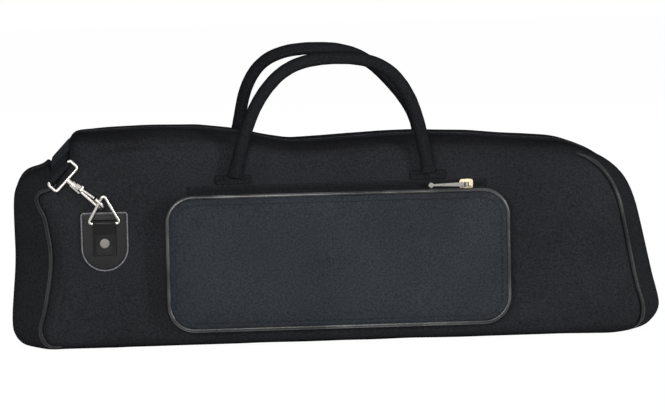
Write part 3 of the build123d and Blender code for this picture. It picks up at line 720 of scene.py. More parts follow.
def plated_material(name, colour, low, high):
    tree, shader = blank_material(name)
    wear = place_group(tree, "Plated wear").outputs
    set_inputs(tree, shader, {
        "Roughness": stretched(tree, wear["Wear"], low, high), "Normal": wear["Normal"],
        "Base Color": (*colour, 1.0), "Metallic": 1.0,
    })


def make_materials():
    colours = bpy.context.scene.case_colours
    grain_group()
    vinyl_group()
    metal_group()
    dark = [c * 1.1 for c in colours.cloth]
    woven_material("Case cloth", [c * 1.55 for c in colours.cloth], 820.0, 0.35, 0.85, 0.0)
    pocket = [c * k for c, k in zip(colours.cloth, (2.15, 2.38, 2.50))]
    woven_material("Pocket cloth", pocket, 820.0, 0.40, 0.75, 0.0)
    woven_material("Handle cloth", [c * 1.05 for c in colours.cloth], 1000.0, 0.35, 0.85, 0.0)
    woven_material("Webbing", dark, 620.0, 0.6, 0.75, 0.04)
    woven_material("Zip tape", dark, 1300.0, 0.3, 0.8, 0.02)
    woven_material("Lining", colours.lining, 500.0, 0.5, 0.9, 0.5)
    woven_material("Thread", colours.thread, 1800.0, 0.3, 0.7, 0.1)
    woven_material("Dark thread", [c * 1.7 for c in colours.cloth], 1800.0, 0.3, 0.7, 0.1)
    # The piping vinyl is made twice from one colour: the pocket copy at 1.2 times, and the end-seam copy at
    # 0.6 times with less gloss. The end-seam copy is painted shade on the end seams.
    vinyl_material("Piping vinyl", [c * 1.2 for c in colours.vinyl], 0.30, 900.0, 0.28, 1.0)
    vinyl_material("Shaded piping vinyl", [c * 0.6 for c in colours.vinyl], 0.40, 900.0, 0.12, 0.45)
    vinyl_material("Tab leather", [c * 0.6 for c in colours.vinyl], 0.40, 700.0, 0.14, 0.03)
    vinyl_material("Buckle plastic", colours.vinyl, 0.38, 1500.0, 0.4, 0.1)
    vinyl_material("Board", [c * 2.2 for c in colours.cloth], 0.6, 500.0, 0.3, 0.0)
    vinyl_material("Zip coil", [c * 0.9 for c in colours.cloth], 0.6, 1500.0, 0.05, 0.0)
    plated_material("Nickel plate", colours.nickel, 0.16, 0.34)
    plated_material("Worn nickel", [c * 0.20 for c in colours.nickel], 0.35, 0.60)
    plated_material("Zip metal", colours.gold, 0.18, 0.34)
    plated_material("Dark zip metal", [c * 0.35 for c in colours.nickel], 0.26, 0.45)
    plated_material("Black zip metal", (0.035, 0.035, 0.037), 0.34, 0.5)


# ---------------------------------------------------------------- shells
def outline_tree():
    loop = outline(0.0, 900)
    tree = kdtree.KDTree(len(loop))
    for i, (x, z) in enumerate(loop):
        tree.insert((x, 0.0, z), i)
    tree.balance()
    return tree


def depth_in(points, tree):
    """Distance of each point from the outline, in the x-z plane."""
    return np.array([tree.find((p[0], 0.0, p[2]))[2] for p in points])


def held_places(points, depth):
    """How firmly each skin point is held, from 0 to 1: linings, rims, seams and sewn-on parts."""
    x, y, z = points[:, 0], points[:, 1], points[:, 2]
    deep = np.abs(y)
    inside = (deep < SEAM_Y + 0.002) & (depth > 0.0042)
    held = np.where(inside, 1.0, 0.0)
    held = np.maximum(held, 1 - smooth_step(deep, 0.012, 0.020))
    held = np.maximum(held, bump_at(deep, SEAM_Y, 0.0035) * (depth < 0.012))
    face = deep > HALF_DEPTH - 0.004

    def box_hold(cx, cz, hx, hz, soft, side):
        away = np.maximum(np.abs(x - cx) - hx, np.abs(z - cz) - hz)
        return (1 - smooth_step(away, 0.0, soft)) * face * (y * side > 0)

    held = np.maximum(held, box_hold(POCKET_X, POCKET_Z + 0.005, 0.153, 0.066, 0.012, -1))
    for side in (-1, 1):
        for foot in (HANDLE_X - HANDLE_HALF, HANDLE_X + HANDLE_HALF):
            held = np.maximum(held, box_hold(foot, 0.151, 0.017, 0.008, 0.010, side))
    held = np.maximum(held, box_hold(-0.208, 0.098, 0.023, 0.030, 0.010, -1))
    held = np.maximum(held, box_hold(0.224, 0.092, 0.030, 0.023, 0.010, 1))
    strap = 1 - smooth_step(np.abs(z - 0.10), 0.060, 0.075)
    held = np.maximum(held, strap * face * (y > 0) * (np.abs(x + 0.02) < 0.24) * 0.9)
    return held


SHELL_FOLDS = [                 # x, z, turn, length, width, height
    (-0.200, 0.160, 22, 0.028, 0.0050, 0.0016),
    (-0.214, 0.146, 30, 0.020, 0.0040, -0.0012),
    (-0.172, 0.166, 12, 0.030, 0.0045, 0.0013),
    (-0.120, 0.162, -8, 0.030, 0.0050, 0.0010),
    (-0.252, 0.060, 80, 0.030, 0.0045, -0.0010),
    (-0.180, 0.030, 60, 0.025, 0.0060, 0.0009),
    (0.205, 0.140, -25, 0.032, 0.0060, 0.0012),
    (0.225, 0.050, -60, 0.034, 0.0070, 0.0012),
    (0.190, 0.020, 12, 0.040, 0.0060, 0.0010),
    (0.150, 0.160, 5, 0.040, 0.0050, 0.0009),
    (-0.010, 0.163, 3, 0.050, 0.0050, -0.0010),
]


def make_shell(half, sign, tree):
    steps = [(WALL, SEAM_Y), (WALL, SPLIT), (ZIP_REBATE, SPLIT), (ZIP_REBATE, TAPE_EDGE),
             (0.0, TAPE_EDGE + 0.003), (0.0, HALF_DEPTH - EDGE_ROUND)]
    for k in range(1, 9):
        turn = math.pi / 2 * k / 8
        steps.append((EDGE_ROUND * (1 - math.cos(turn)),
                      HALF_DEPTH - EDGE_ROUND + EDGE_ROUND * math.sin(turn)))
    rings = [in_space(outline(inset, SHELL_RING), sign * depth) for inset, depth in steps]
    shell = rings_object(f"{half}_padded_shell", rings)
    remesh(shell, bpy.context.scene.case_sizes.cloth_voxel)
    points = coords(shell.data)
    pinned = held_places(points, depth_in(points, tree))
    plump(shell, pinned, 0.0032)
    subdivide(shell)
    points = coords(shell.data)
    depth = depth_in(points, tree)
    held = held_places(points, depth)
    normals = coords(shell.data, "normal")
    outer = 1 - ((np.abs(points[:, 1]) < SEAM_Y + 0.002) & (depth > 0.0030))
    height = 1.6 * folds(points, SHELL_FOLDS) + 0.0006 * ripple(points, 22.0, 3.0 if sign < 0 else 9.0)
    points = points + normals * (height * outer * (1 - 0.9 * held))[:, None]
    points = points + soft_shift(points)
    points[:, 2] = np.maximum(points[:, 2], 0.0)
    set_coords(shell, points)
    place_piece(shell, f"{half}_half", "Case cloth", "nylon", f"{half}_panel", f"{half}_gusset")


def seam_run(sign, low, high, foot, inset, depth):
    """Open run of the seam above foot where x lies between low and high, with its outward directions."""
    loop = outline(inset, 900)
    order = run_order((loop[:, 0] >= low) & (loop[:, 0] <= high) & (loop[:, 1] >= foot))
    path = in_space(loop[order], sign * depth)
    return path + soft_shift(path), unit(in_space(outward(loop)[order], sign * 1.0))


def make_piping(half, sign):
    """Vinyl bead along the end seams."""
    runs = (("left", -1.0, LEFT_PIPE_REACH, 0.0), ("right", RIGHT_PIPE_REACH, 1.0, PIPE_FOOT))
    for side, low, high, foot in runs:
        path, off = seam_run(sign, low, high, foot, SEAM_INSET - 0.0008, SEAM_Y + 0.0008)
        path, off = spaced(path, 260), spaced(off, 260)

        def bead(t):
            taper = min(1.0, 0.25 + 9 * min(t, 1 - t))
            return circle(PIPE_RADIUS * taper)

        piece = sweep(f"{half}_{side}_piping_bead", path, bead, off)
        # the end-seam bead takes the darker copy of the piping vinyl, painted shade
        place_piece(piece, f"{half}_half", "Shaded piping vinyl", "vinyl_piping", f"{half}_{side}_piping")


def make_main_zip(half, sign):
    """Tape, teeth and stitching of one side of the main zip."""
    loop = outline(0.0, 1400)
    order = run_order(loop[:, 1] >= ZIP_FOOT)
    flat, off = loop[order], outward(loop)[order]

    def lifted(height, depth):
        path = in_space(flat + off * height, sign * depth)
        return path + soft_shift(path)

    off3 = in_space(off, 0.0)
    tape = sweep(f"{half}_zip_tape_cloth", spaced(lifted(-0.0009, 0.0060), 420), ribbon(0.0118, 0.0010),
                 spaced(off3, 420))
    place_piece(tape, f"{half}_half", "Zip tape", "zip_tape", f"{half}_zip_tape")
    pitch = bpy.context.scene.case_sizes.tooth_pitch
    shift = 0 if sign < 0 else 1
    places = row_places(lifted(0.0004, 0.0013), off3, pitch / 2)[shift::2]
    teeth = copies(f"{half}_zip_teeth", [(o, s, a, u) for o, a, s, u in places],
                   capsule(0.0030, 0.0013, 0.0011))
    place_piece(teeth, f"{half}_half", "Zip coil", "zip_tape")
    sewing = stitches(f"{half}_zip_stitching", lifted(0.0002, 0.0100), off3, height=0.0004)
    place_piece(sewing, f"{half}_half", "Dark thread", "zip_tape")


class CASE_OT_shells(bpy.types.Operator):
    """Pads both halves, with their piping and their sides of the main zip"""

    bl_idname = "trumpet_case.shells"
    bl_label = "Shells and main zip"

    def execute(self, context):
        tree = outline_tree()
        for half, sign in (("front", -1), ("rear", 1)):
            make_shell(half, sign, tree)
            make_piping(half, sign)
            make_main_zip(half, sign)
        return {"FINISHED"}


# ---------------------------------------------------------------- outer pocket and its zip
def pocket_loop(inset):
    hx, hz = POCKET_HALF
    corners = [
        (POCKET_X - hx, POCKET_Z - hz, POCKET_CORNER), (POCKET_X - hx, POCKET_Z + hz, POCKET_CORNER),
        (POCKET_X + hx, POCKET_Z + hz, POCKET_CORNER), (POCKET_X + hx, POCKET_Z - hz, POCKET_CORNER),
    ]
    return spaced(rounded_loop(corners, inset), POCKET_RING, closed=True)


POCKET_FOLDS = [                # x, z, turn, length, width, height
    (-0.110, 0.118, 35, 0.030, 0.010, 0.0006),
    (0.110, 0.115, -40, 0.035, 0.010, 0.0007),
    (0.060, 0.045, 15, 0.050, 0.014, 0.0006),
    (-0.070, 0.050, -20, 0.045, 0.014, 0.0005),
]


def make_pocket():
    steps = ((0.004, 0.086), (0.004, 0.0716), (0.0, 0.0716), (0.0, 0.0857), (0.0006, 0.0880),
             (0.0024, 0.0900), (0.0060, 0.0908))
    rings = [in_space(pocket_loop(inset), -depth) for inset, depth in steps]
    pocket = rings_object("pocket_padded_panel", rings)
    remesh(pocket, 0.0032, iterations=2)
    points = coords(pocket.data)
    reach = np.maximum(np.abs(points[:, 0] - POCKET_X) - POCKET_HALF[0],
                       np.abs(points[:, 2] - POCKET_Z) - POCKET_HALF[1])
    inside = (points[:, 1] > -0.0868) & (reach < -0.0028)
    pinned = np.where(inside | (points[:, 1] > -0.074), 1.0, 0.0)
    pinned = np.maximum(pinned, bump_at(points[:, 1], POCKET_SEAM_Y, 0.0020) * (reach > -0.006))
    plump(pocket, pinned, 0.0016)
    subdivide(pocket)
    points = coords(pocket.data)
    normals = coords(pocket.data, "normal")
    outer = points[:, 1] < -0.0866
    height = folds(points, POCKET_FOLDS) + 0.0005 * ripple(points, 30.0, 21.0)
    set_coords(pocket, points + normals * (height * outer)[:, None])
    place_piece(pocket, "pocket", "Pocket cloth", "nylon", "pocket_panel", "pocket_gusset")
    loop = pocket_loop(-0.0002)
    out = outward(loop)
    path = in_space(loop, POCKET_SEAM_Y - 0.0002)
    bead = sweep("pocket_piping_bead", path, circle(PIPE_RADIUS), unit(in_space(out, -0.6)), closed=True)
    place_piece(bead, "pocket", "Piping vinyl", "vinyl_piping", "pocket_piping")
    for name, inset, depth, way in (("pocket_panel_stitching", 0.0062, 0.0909, -Y_AXIS),
                                    ("pocket_gusset_stitching", -0.0001, 0.0820, in_space(out, 0.0))):
        run = in_space(pocket_loop(inset), -depth)
        place_piece(stitches(name, run, way, closed=True), "pocket", "Dark thread", "nylon")


def make_pocket_zip():
    """Tape sewn flat above the pocket, with two interlocking rows of coil."""
    low, high = POCKET_ZIP_X - POCKET_ZIP_HALF, POCKET_ZIP_X + POCKET_ZIP_HALF
    path = np.array([(x, -HALF_DEPTH + 0.0004, POCKET_ZIP_Z)
                     for x in np.linspace(low - 0.004, high + 0.004, 90)])
    tape = sweep("pocket_zip_tape_cloth", path, ribbon(0.0082, 0.0014), -Y_AXIS)
    place_piece(tape, "front_half", "Zip tape", "zip_tape", "pocket_zip")
    pitch = bpy.context.scene.case_sizes.tooth_pitch * 0.7
    run = np.array([(x, -HALF_DEPTH - 0.0011, POCKET_ZIP_Z) for x in np.linspace(low, high, 40)])
    places = []
    for n, (origin, along, side, out) in enumerate(row_places(run, -Y_AXIS, pitch)):
        reach = 0.0006 if n % 2 else -0.0006
        places.append((origin + side * reach, side, along, out))
    teeth = copies("pocket_zip_coil", places, capsule(0.0022, 0.0011, 0.0011))
    place_piece(teeth, "front_half", "Zip coil", "zip_tape")
    rows = []
    for drop in (-0.0034, 0.0034):
        run = np.array([(x, -HALF_DEPTH - 0.0010, POCKET_ZIP_Z + drop)
                        for x in np.linspace(low - 0.003, high + 0.003, 60)])
        rows.append(stitches("row", run, -Y_AXIS))
    place_piece(merge("pocket_zip_stitching", *rows), "front_half", "Dark thread", "zip_tape")


class CASE_OT_pocket(bpy.types.Operator):
    """Builds the padded outer pocket, its piping and its zip"""

    bl_idname = "trumpet_case.pocket"
    bl_label = "Outer pocket"

    def execute(self, context):
        make_pocket()
        make_pocket_zip()
        for node, finish in (("pocket_slider", "Zip metal"), ("pocket_puller", "Dark zip metal"),
                             ("main_slider", "Black zip metal"), ("main_puller", "Black zip metal")):
            dress(node, finish, bevel=0.0002)
        return {"FINISHED"}


# ---------------------------------------------------------------- handles
def handle_path(sign):
    """Centre line of a tube handle, from its left foot over the crown to its right foot."""
    steps = [(1.0, 0.0, 0.0), (0.97, 0.03, 0.23), (0.85, 0.32, 0.60), (0.57, 0.80, 0.91), (0.26, 1.0, 1.0)]
    left = [(HANDLE_X - s * HANDLE_HALF, sign * (HANDLE_Y - lean * HANDLE_LEAN),
             HANDLE_FOOT + rise * HANDLE_RISE) for s, lean, rise in steps]
    right = [(2 * HANDLE_X - x, y, z) for x, y, z in reversed(left)]
    path = spaced(left + right, HANDLE_POINTS)
    share = np.clip((path[:, 2] - HANDLE_FOOT) / HANDLE_RISE, 0, 1)
    crown, waist = smooth_step(share, 0.3, 1.0), bump_at(share, 0.35, 0.30)
    if sign < 0:
        path[:, 0] += 0.0075 * crown + 0.0040 * waist * (path[:, 0] < HANDLE_X)
        path[:, 2] += 0.0065 * crown
    else:
        path[:, 0] += 0.0060 * waist * (1 + (path[:, 0] > HANDLE_X)) - 0.0060 * crown
        path[:, 2] += 0.0100 * crown
    return spaced(relaxed(path, 300, 14.0), HANDLE_POINTS)


def make_handle(half, sign):
    path = handle_path(sign)
    out = np.tile([0.0, float(sign), 0.35], (len(path), 1))

    def tube(t):
        end = min(t, 1 - t)
        flat = 1 - 0.42 * (1 - min(1.0, end / 0.06)) ** 2
        seam = 0.0002 * math.sin(t * 900)
        ring = []
        for k in range(20):
            turn = 2 * math.pi * k / 20
            ridge = 0.0007 * math.exp(-((math.remainder(turn + math.pi / 2, 2 * math.pi) / 0.22) ** 2))
            radius = HANDLE_R * 0.97 + ridge + seam * (0.5 if k in (14, 15, 16) else 0.1)
            ring.append((radius * math.cos(turn) * (2 - flat) ** 0.35, radius * math.sin(turn) * flat))
        return ring

    body = sweep(f"{half}_handle_tube", path, tube, out)
    points = coords(body.data)
    set_coords(body, points + coords(body.data, "normal") * (0.00022 * ripple(points, 160.0, 4.0))[:, None])
    subdivide(body)
    place_piece(body, f"{half}_handle", "Handle cloth", "nylon", f"{half}_handle")
    ahead = directions(path, False)
    under = unit(np.cross(np.cross(ahead, out), ahead))
    sewn = path[10:-10] - under[10:-10] * (HANDLE_R * 1.07)
    place_piece(stitches(f"{half}_handle_stitching", sewn, -under[10:-10]), f"{half}_handle", "Dark thread",
                "nylon")


def make_anchors(half, sign):
    """Sewn patches under the feet of a handle, with a crossed box of stitches."""
    pads, rows = [], []
    for foot in (HANDLE_X - HANDLE_HALF, HANDLE_X + HANDLE_HALF):
        low, high = 0.1479, 0.1562
        left, right = foot - 0.0165, foot + 0.0165
        corners = [(x, z, 0.002) for x, z in ((left, low), (left, high), (right, high), (right, low))]
        place = ((0, sign * HALF_DEPTH, 0), (1, 0, 0), (0, 0, 1), (0, sign, 0))
        pads.append(pad("patch", spaced(rounded_loop(corners), 90, closed=True), place, 0.0018, crown=0.0002))
        inner = spaced(rounded_loop(corners, 0.0015), 90, closed=True)
        run = in_space(inner, sign * (HALF_DEPTH + 0.00195))
        rows.append(stitches("row", run, sign * Y_AXIS, closed=True))
        for a, b in (((-0.014, low + 0.002), (0.014, high - 0.002)),
                     ((-0.014, high - 0.002), (0.014, low + 0.002))):
            cross = np.array([(foot + a[0] + (b[0] - a[0]) * t, sign * (HALF_DEPTH + 0.0020),
                               a[1] + (b[1] - a[1]) * t) for t in np.linspace(0, 1, 12)])
            rows.append(stitches("row", cross, sign * Y_AXIS))
    patches = merge(f"{half}_handle_patches", *pads)
    patches.data.polygons.foreach_set("use_smooth", [True] * len(patches.data.polygons))
    place_piece(patches, f"{half}_half", "Handle cloth", "nylon", f"{half}_handle_anchors")
    place_piece(merge(f"{half}_handle_patch_stitching", *rows), f"{half}_half", "Dark thread", "nylon")


class CASE_OT_handles(bpy.types.Operator):
    """Builds the two tube handles and their sewn patches"""

    bl_idname = "trumpet_case.handles"
    bl_label = "Handles"

    def execute(self, context):
        for half, sign in (("front", -1), ("rear", 1)):
            make_handle(half, sign)
            make_anchors(half, sign)
        return {"FINISHED"}


# ---------------------------------------------------------------- tabs, rings and hooks
def tab_loop_outline(inset=0.0):
    """U-shaped tab in its own plane: flat top edge, round foot."""
    half, top, low = 0.0215, 0.010, -0.044
    path = [(half, top - 0.002), (half - 0.002, top), (-half + 0.002, top), (-half, top - 0.002)]
    for k in range(41):
        turn = math.pi + math.pi * k / 40
        path.append((half * math.cos(turn), low + half + half * math.sin(turn)))
    loop = spaced(path, 150, closed=True)
    return loop - outward(loop) * inset


def make_tab(half):
    """Stitched leather tab with its folded loop round the ring's bar."""
    origin, across, up, out = (np.asarray(v, float) for v in TAB_FRAMES[half])
    base = pad(f"{half}_leather_tab", tab_loop_outline(), (origin, across, up, out), 0.0019, crown=0.0004,
               edge=0.0009)
    place_piece(base, f"{half}_half", "Tab leather", "leatherette", f"{half}_tab")
    for name, inset, high in (("tab_edge_cord", 0.0010, 0.0018), ("tab_stitching", 0.0030, 0.0021)):
        edge = tab_loop_outline(inset)
        run = origin + np.outer(edge[:, 0], across) + np.outer(edge[:, 1], up) + out * high
        if name == "tab_edge_cord":
            sewing = sweep(f"{half}_{name}", run, circle(0.0007, 8), out, closed=True)
        else:
            sewing = stitches(f"{half}_{name}", run, out, closed=True, width=0.0006, height=0.0006)
        place_piece(sewing, f"{half}_half", "Thread" if inset < 0.002 else "Dark thread", "leatherette")
    bar = 0.0052
    fold = [(-0.029, 0.0042), (-0.020, 0.0044), (-0.0100, 0.0050), (-0.0042, 0.0066)]
    for k in range(19):
        turn = math.radians(125 - 250 * k / 18)
        fold.append((math.sin(math.radians(90) - turn) * BAR_WRAP, bar + math.sin(turn) * BAR_WRAP))
    fold += [(-0.0042, 0.0036), (-0.0100, 0.0028), (-0.020, 0.0026), (-0.029, 0.0026)]
    fold = spaced(np.array(fold), 120)
    path = origin + np.outer(fold[:, 0], up) + np.outer(fold[:, 1], out)
    way = directions(path, False)
    off = np.cross(np.tile(across, (len(path), 1)), way)
    strap = sweep(f"{half}_tab_keeper", path, sunk(ribbon(0.0205, 0.0014), 0.0007), off)
    place_piece(strap, f"{half}_half", "Tab leather", "leatherette", f"{half}_tab_loop")
    rows = []
    for side in (-0.0085, 0.0085):
        run = np.array([origin + across * side + up * v + out * w for v, w in
                        [(-0.028, 0.00495), (-0.020, 0.00515), (-0.010, 0.0058), (-0.0050, 0.0071)]])
        rows.append(stitches("row", spaced(run, 30), out, width=0.0007))
    place_piece(merge(f"{half}_tab_keeper_stitching", *rows), f"{half}_half", "Dark thread", "leatherette")


class CASE_OT_hardware(bpy.types.Operator):
    """Builds the leather tabs and dresses the rings, rivets and swivel hooks"""

    bl_idname = "trumpet_case.hardware"
    bl_label = "Tabs and hooks"

    def execute(self, context):
        for half in ("front", "rear"):
            make_tab(half)
            for part in ("ring", "rivet", "hook_eye", "hook", "gate"):
                finish = "Worn nickel" if part == "rivet" else "Nickel plate"
                dress(f"{half}_{part}", finish, bevel=0.00015)
        return {"FINISHED"}


# ---------------------------------------------------------------- straps
def strap_path():
    """Centre line of the webbing from the front eye over the sloping corner and along the back,
    with the direction off the case at each point."""
    def on_slope(height, y):
        return SLOPE_MID + SLOPE_OUT * height + Y_AXIS * y

    over = [on_slope(height, y) for height, y in (
        (FRONT_EYE[1] + 0.0003, FRONT_EYE[0] + 0.0005), (0.0027, -0.060), (0.0021, -0.050), (0.0023, -0.020),
        (0.0026, -0.002), (0.0026, 0.002), (0.0023, 0.030), (0.0021, 0.050),
    )]
    outs = [SLOPE_OUT] * len(over)
    for k in range(1, 8):
        turn = math.pi / 2 * k / 8
        over.append(on_slope(-0.0200 + 0.0230 * math.cos(turn), 0.051 + 0.0230 * math.sin(turn)))
        outs.append(SLOPE_OUT * math.cos(turn) + Y_AXIS * math.sin(turn))
    flat = relaxed(spaced(STRAP_ROUTE, STRAP_POINTS), 900, 16.0)
    back = list(in_space(flat, 0.0722))
    outs += [Y_AXIS] * len(back)
    tail = [np.array([0.1335, 0.0738, REAR_TAB_Z]), np.array([0.1372, 0.0752, REAR_TAB_Z])]
    path = np.array(over + back + tail)
    held = smooth_step(path[:, 1], FRONT_EYE[0], -0.056)
    return path + soft_shift(path) * held[:, None], np.array(outs + [Y_AXIS, Y_AXIS])


def make_strap(path, out):
    """The two lengths of webbing, parted over the zip, and the folds round the bars that hold them."""
    section = sunk(ribbon(0.0245, 0.0013), STRAP_SINK)
    belts = []
    for name, chosen, count in (("shoulder_strap_front_end", path[:, 1] < 0, 110),
                                ("shoulder_strap_webbing", path[:, 1] > 0, 360)):
        run, off = path[chosen], out[chosen]
        end = 0 if run[0, 1] > 0 else -1
        run[end, 1] = math.copysign(0.0002, run[end, 1])
        belt = sweep(name, spaced(run, count), section, spaced(off, count))
        subdivide(belt)
        belts.append(belt)
    loops = []
    for centre, axis, start in (
        (SLOPE_MID + SLOPE_OUT * FRONT_EYE[1] + Y_AXIS * FRONT_EYE[0], np.cross(SLOPE_OUT, Y_AXIS),
         SLOPE_OUT),
        (np.array([*REAR_BAR, REAR_TAB_Z]), Z_AXIS, Y_AXIS),
    ):
        side = np.cross(axis, start)
        ring = np.array([centre + start * BAR_WRAP * math.cos(t) + side * BAR_WRAP * math.sin(t)
                         for t in np.linspace(0, 2 * math.pi, 25)[:-1]])
        loops.append(sweep("fold", ring, section, (ring - centre) / BAR_WRAP, closed=True))
    return belts, loops


class CASE_OT_straps(bpy.types.Operator):
    """Builds the shoulder strap, drawn up behind the case, and dresses its slide"""

    bl_idname = "trumpet_case.straps"
    bl_label = "Shoulder strap"

    def execute(self, context):
        path, out = strap_path()
        (front, rear), loops = make_strap(path, out)
        place_piece(front, "front_half", "Webbing", "webbing", "strap_front")
        place_piece(rear, "rear_half", "Webbing", "webbing", "shoulder_strap")
        for fold, body in zip(loops, ("front_half", "rear_half")):
            fold.name = f"{body}_strap_fold"
            place_piece(fold, body, "Webbing", "webbing")
        double = [i for i in range(len(path)) if path[i, 1] > 0.0721 and -0.226 < path[i, 0] < -0.036]
        second = spaced(path[double], 160) + Y_AXIS * 0.00145
        tail = sweep("shoulder_strap_second_layer", second, sunk(ribbon(0.0243, 0.0012), STRAP_SINK), Y_AXIS)
        place_piece(tail, "rear_half", "Webbing", "webbing")
        rows = []
        for start, end in ((0.0, 0.02), (0.06, 0.08)):
            part = second[int(start * 160):int(end * 160) + 4]
            rows.append(stitches("row", part + Y_AXIS * 0.0008, Y_AXIS))
        place_piece(merge("shoulder_strap_stitching", *rows), "rear_half", "Dark thread", "webbing")
        dress("strap_adjuster", "Buckle plastic", bevel=0.0004)
        return {"FINISHED"}


# ---------------------------------------------------------------- inside and base
def make_lining(half, sign):
    loop = outline(0.0084, 360)
    place = ((0, sign * SEAM_Y, 0), (1, 0, 0), (0, 0, 1), (0, -sign, 0))
    sheet = pad(f"{half}_quilted_lining", loop, place, 0.0020, crown=0.0004, edge=0.0012)
    points = coords(sheet.data)
    set_coords(sheet, points + soft_shift(points))
    place_piece(sheet, f"{half}_half", "Lining", "lining", f"{half}_lining")
    run = in_space(outline(0.0150, 700), sign * (SEAM_Y - 0.0021))
    run = run + soft_shift(run)
    sewing = stitches(f"{half}_lining_stitching", run, -sign * Y_AXIS, closed=True)
    place_piece(sewing, f"{half}_half", "Thread", "lining")


def make_hinge():
    """Strip of the outer cloth that crosses the base and climbs both ends to the foot of the zip."""
    loop = outline(0.0012, 900)
    order = run_order(loop[:, 1] < ZIP_FOOT)
    path, off = in_space(loop[order], 0.0), in_space(outward(loop)[order], 0.0)
    path = path + soft_shift(path)
    section = sunk([(-0.008, 0), (-0.004, 0), (-0.0015, 0), (0.0015, 0), (0.004, 0), (0.008, 0),
                    (0.008, 0.0022), (0.004, 0.0022), (0.0015, 0.0026), (0, 0.0028), (-0.0015, 0.0026),
                    (-0.004, 0.0022), (-0.008, 0.0022)], 0.0022)
    strip = sweep("hinge_gusset_strip", spaced(path, 320), section, spaced(off, 320))
    strip.data.materials.append(bpy.data.materials["Case cloth"])
    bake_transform(strip)
    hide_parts("hinge_strip")


def make_keeper():
    """Hook-and-loop strap that holds the instrument, its ends sewn to the rear lining."""
    half = 0.0700
    rise = np.linspace(-1, 1, 90)
    path = np.array([(KEEPER_X, 0.0629 - 0.0016 * (1 - t**2) ** 2, 0.088 + t * half) for t in rise])
    belt = sweep("keeper_strap_webbing", path, ribbon(0.0445, 0.0013), -Y_AXIS)
    place_piece(belt, "rear_half", "Webbing", "webbing", "keeper_strap")
    rows = []
    for end in (0.0215, 0.1545):
        run = np.array([(KEEPER_X + x, 0.0614, end) for x in np.linspace(-0.019, 0.019, 20)])
        rows.append(stitches("row", run, -Y_AXIS))
    place_piece(merge("keeper_strap_stitching", *rows), "rear_half", "Thread", "webbing")


class CASE_OT_inside(bpy.types.Operator):
    """Builds the linings, the hinge strip and the keeper strap, and dresses the base board"""

    bl_idname = "trumpet_case.inside"
    bl_label = "Inside and base"

    def execute(self, context):
        for half, sign in (("front", -1), ("rear", 1)):
            make_lining(half, sign)
        make_hinge()
        make_keeper()
        dress("base_stiffener", "Board", bevel=0.0004)
        return {"FINISHED"}


# ---------------------------------------------------------------- stage
def area_light(name, location, size, power):
    light = bpy.data.lights.new(name, "AREA")
    light.shape = "RECTANGLE"
    light.size, light.size_y = size
    light.energy = power
    obj = bpy.data.objects.new(name, light)
    obj.location = location
    obj.rotation_euler = (Vector(LAMP_TARGET) - Vector(location)).to_track_quat("-Z", "Y").to_euler()
    bpy.context.scene.collection.objects.link(obj)
    return obj


def seen_rays(tree):
    """1 for rays from the camera and for mirrored ones, 0 for the rest, which light the object."""
    rays = add_node(tree, "LightPath").outputs
    return add_node(tree, "Math", {0: rays["Is Camera Ray"], 1: rays["Is Glossy Ray"]}, "MAXIMUM").outputs[0]


def studio_floor():
    corners = [(x, y, -0.0004) for x, y in ((-6, -6), (6, -6), (6, 6), (-6, 6))]
    floor = new_object("studio_floor", corners, [(0, 1, 2, 3)])
    tree, shader = blank_material("Studio floor")
    set_inputs(tree, shader, {"Base Color": (0.86, 0.86, 0.86, 1.0), "Roughness": 0.9})
    glow = add_node(tree, "Emission", {"Color": WHITE, "Strength": 1.06})
    seen = add_node(tree, "Math", {0: seen_rays(tree), 1: 0.92}, "MULTIPLY")
    mix = add_node(tree, "MixShader", {"Fac": seen.outputs[0], 1: shader.outputs["BSDF"], 2: glow.outputs[0]})
    set_inputs(tree, tree.nodes["Material Output"], {"Surface": mix.outputs["Shader"]})
    floor.data.materials.append(bpy.data.materials["Studio floor"])
    return floor


def studio_world(scene):
    """White where it is seen, dim where it lights the object."""
    scene.world = bpy.data.worlds.new("studio")
    scene.world.use_nodes = True
    tree = scene.world.node_tree
    soft = set_inputs(tree, tree.nodes["Background"], {"Color": WHITE, "Strength": 0.13})
    white = add_node(tree, "Background", {"Color": WHITE, "Strength": 1.0})
    pick = add_node(tree, "MixShader", {"Fac": seen_rays(tree), 1: soft.outputs[0], 2: white.outputs[0]})
    set_inputs(tree, tree.nodes["World Output"], {"Surface": pick.outputs[0]})


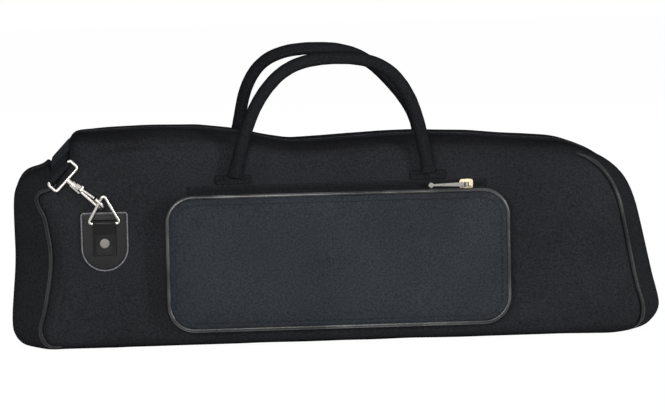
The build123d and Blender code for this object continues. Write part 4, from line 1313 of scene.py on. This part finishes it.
def aim_camera(scene):
    """A long lens a little left of and above the case, rolled slightly."""
    camera = bpy.data.cameras.new("camera")
    camera.sensor_width = 36.0
    camera.lens = 176.0
    shot = bpy.data.objects.new("camera", camera)
    yaw, rise, distance = math.radians(3.6), math.radians(6.0), 3.0
    view = Vector((-math.sin(yaw) * math.cos(rise), -math.cos(yaw) * math.cos(rise), math.sin(rise)))
    shot.location = Vector((0.0025, 0.0, 0.117)) + view * distance
    shot.rotation_euler = (-view).to_track_quat("-Z", "Y").to_euler()
    shot.rotation_euler.rotate_axis("Z", math.radians(-1.25))
    scene.collection.objects.link(shot)
    scene.camera = shot


class CASE_OT_stage(bpy.types.Operator):
    """Sets up the floor, the soft studio light, the white background and the camera"""

    bl_idname = "trumpet_case.stage"
    bl_label = "Stage"

    def execute(self, context):
        floor = studio_floor()
        lamps = [area_light(*lamp) for lamp in LAMPS]
        studio_world(context.scene)
        aim_camera(context.scene)
        context.scene.view_settings.view_transform = "Standard"
        return {"FINISHED"}


class CASE_PT_panel(bpy.types.Panel):
    """Sidebar panel with the case's sizes, colours and steps"""

    bl_label = "Trumpet Case"
    bl_idname = "CASE_PT_panel"
    bl_space_type = "VIEW_3D"
    bl_region_type = "UI"
    bl_category = "Trumpet Case"

    def draw(self, context):
        layout = self.layout
        for group in (context.scene.case_sizes, context.scene.case_colours):
            column = layout.column()
            for key in group.__annotations__:
                column.prop(group, key)
        for operator in OPERATORS:
            layout.operator(operator.bl_idname)


OPERATORS = (
    CASE_OT_shells, CASE_OT_pocket, CASE_OT_handles, CASE_OT_hardware, CASE_OT_straps, CASE_OT_inside,
    CASE_OT_stage,
)
CLASSES = (CaseSizes, CaseColours, *OPERATORS, CASE_PT_panel)


def register():
    for cls in CLASSES:
        bpy.utils.register_class(cls)
    bpy.types.Scene.case_sizes = bpy.props.PointerProperty(type=CaseSizes)
    bpy.types.Scene.case_colours = bpy.props.PointerProperty(type=CaseColours)


def unregister():
    del bpy.types.Scene.case_colours
    del bpy.types.Scene.case_sizes
    for cls in reversed(CLASSES):
        bpy.utils.unregister_class(cls)


def main():
    register()
    make_materials()
    for step in ("shells", "pocket", "handles", "hardware", "straps", "inside", "stage"):
        if getattr(bpy.ops.trumpet_case, step)() != {"FINISHED"}:
            raise RuntimeError(f"{step} didn't finish")


if __name__ == "__main__":
    main()
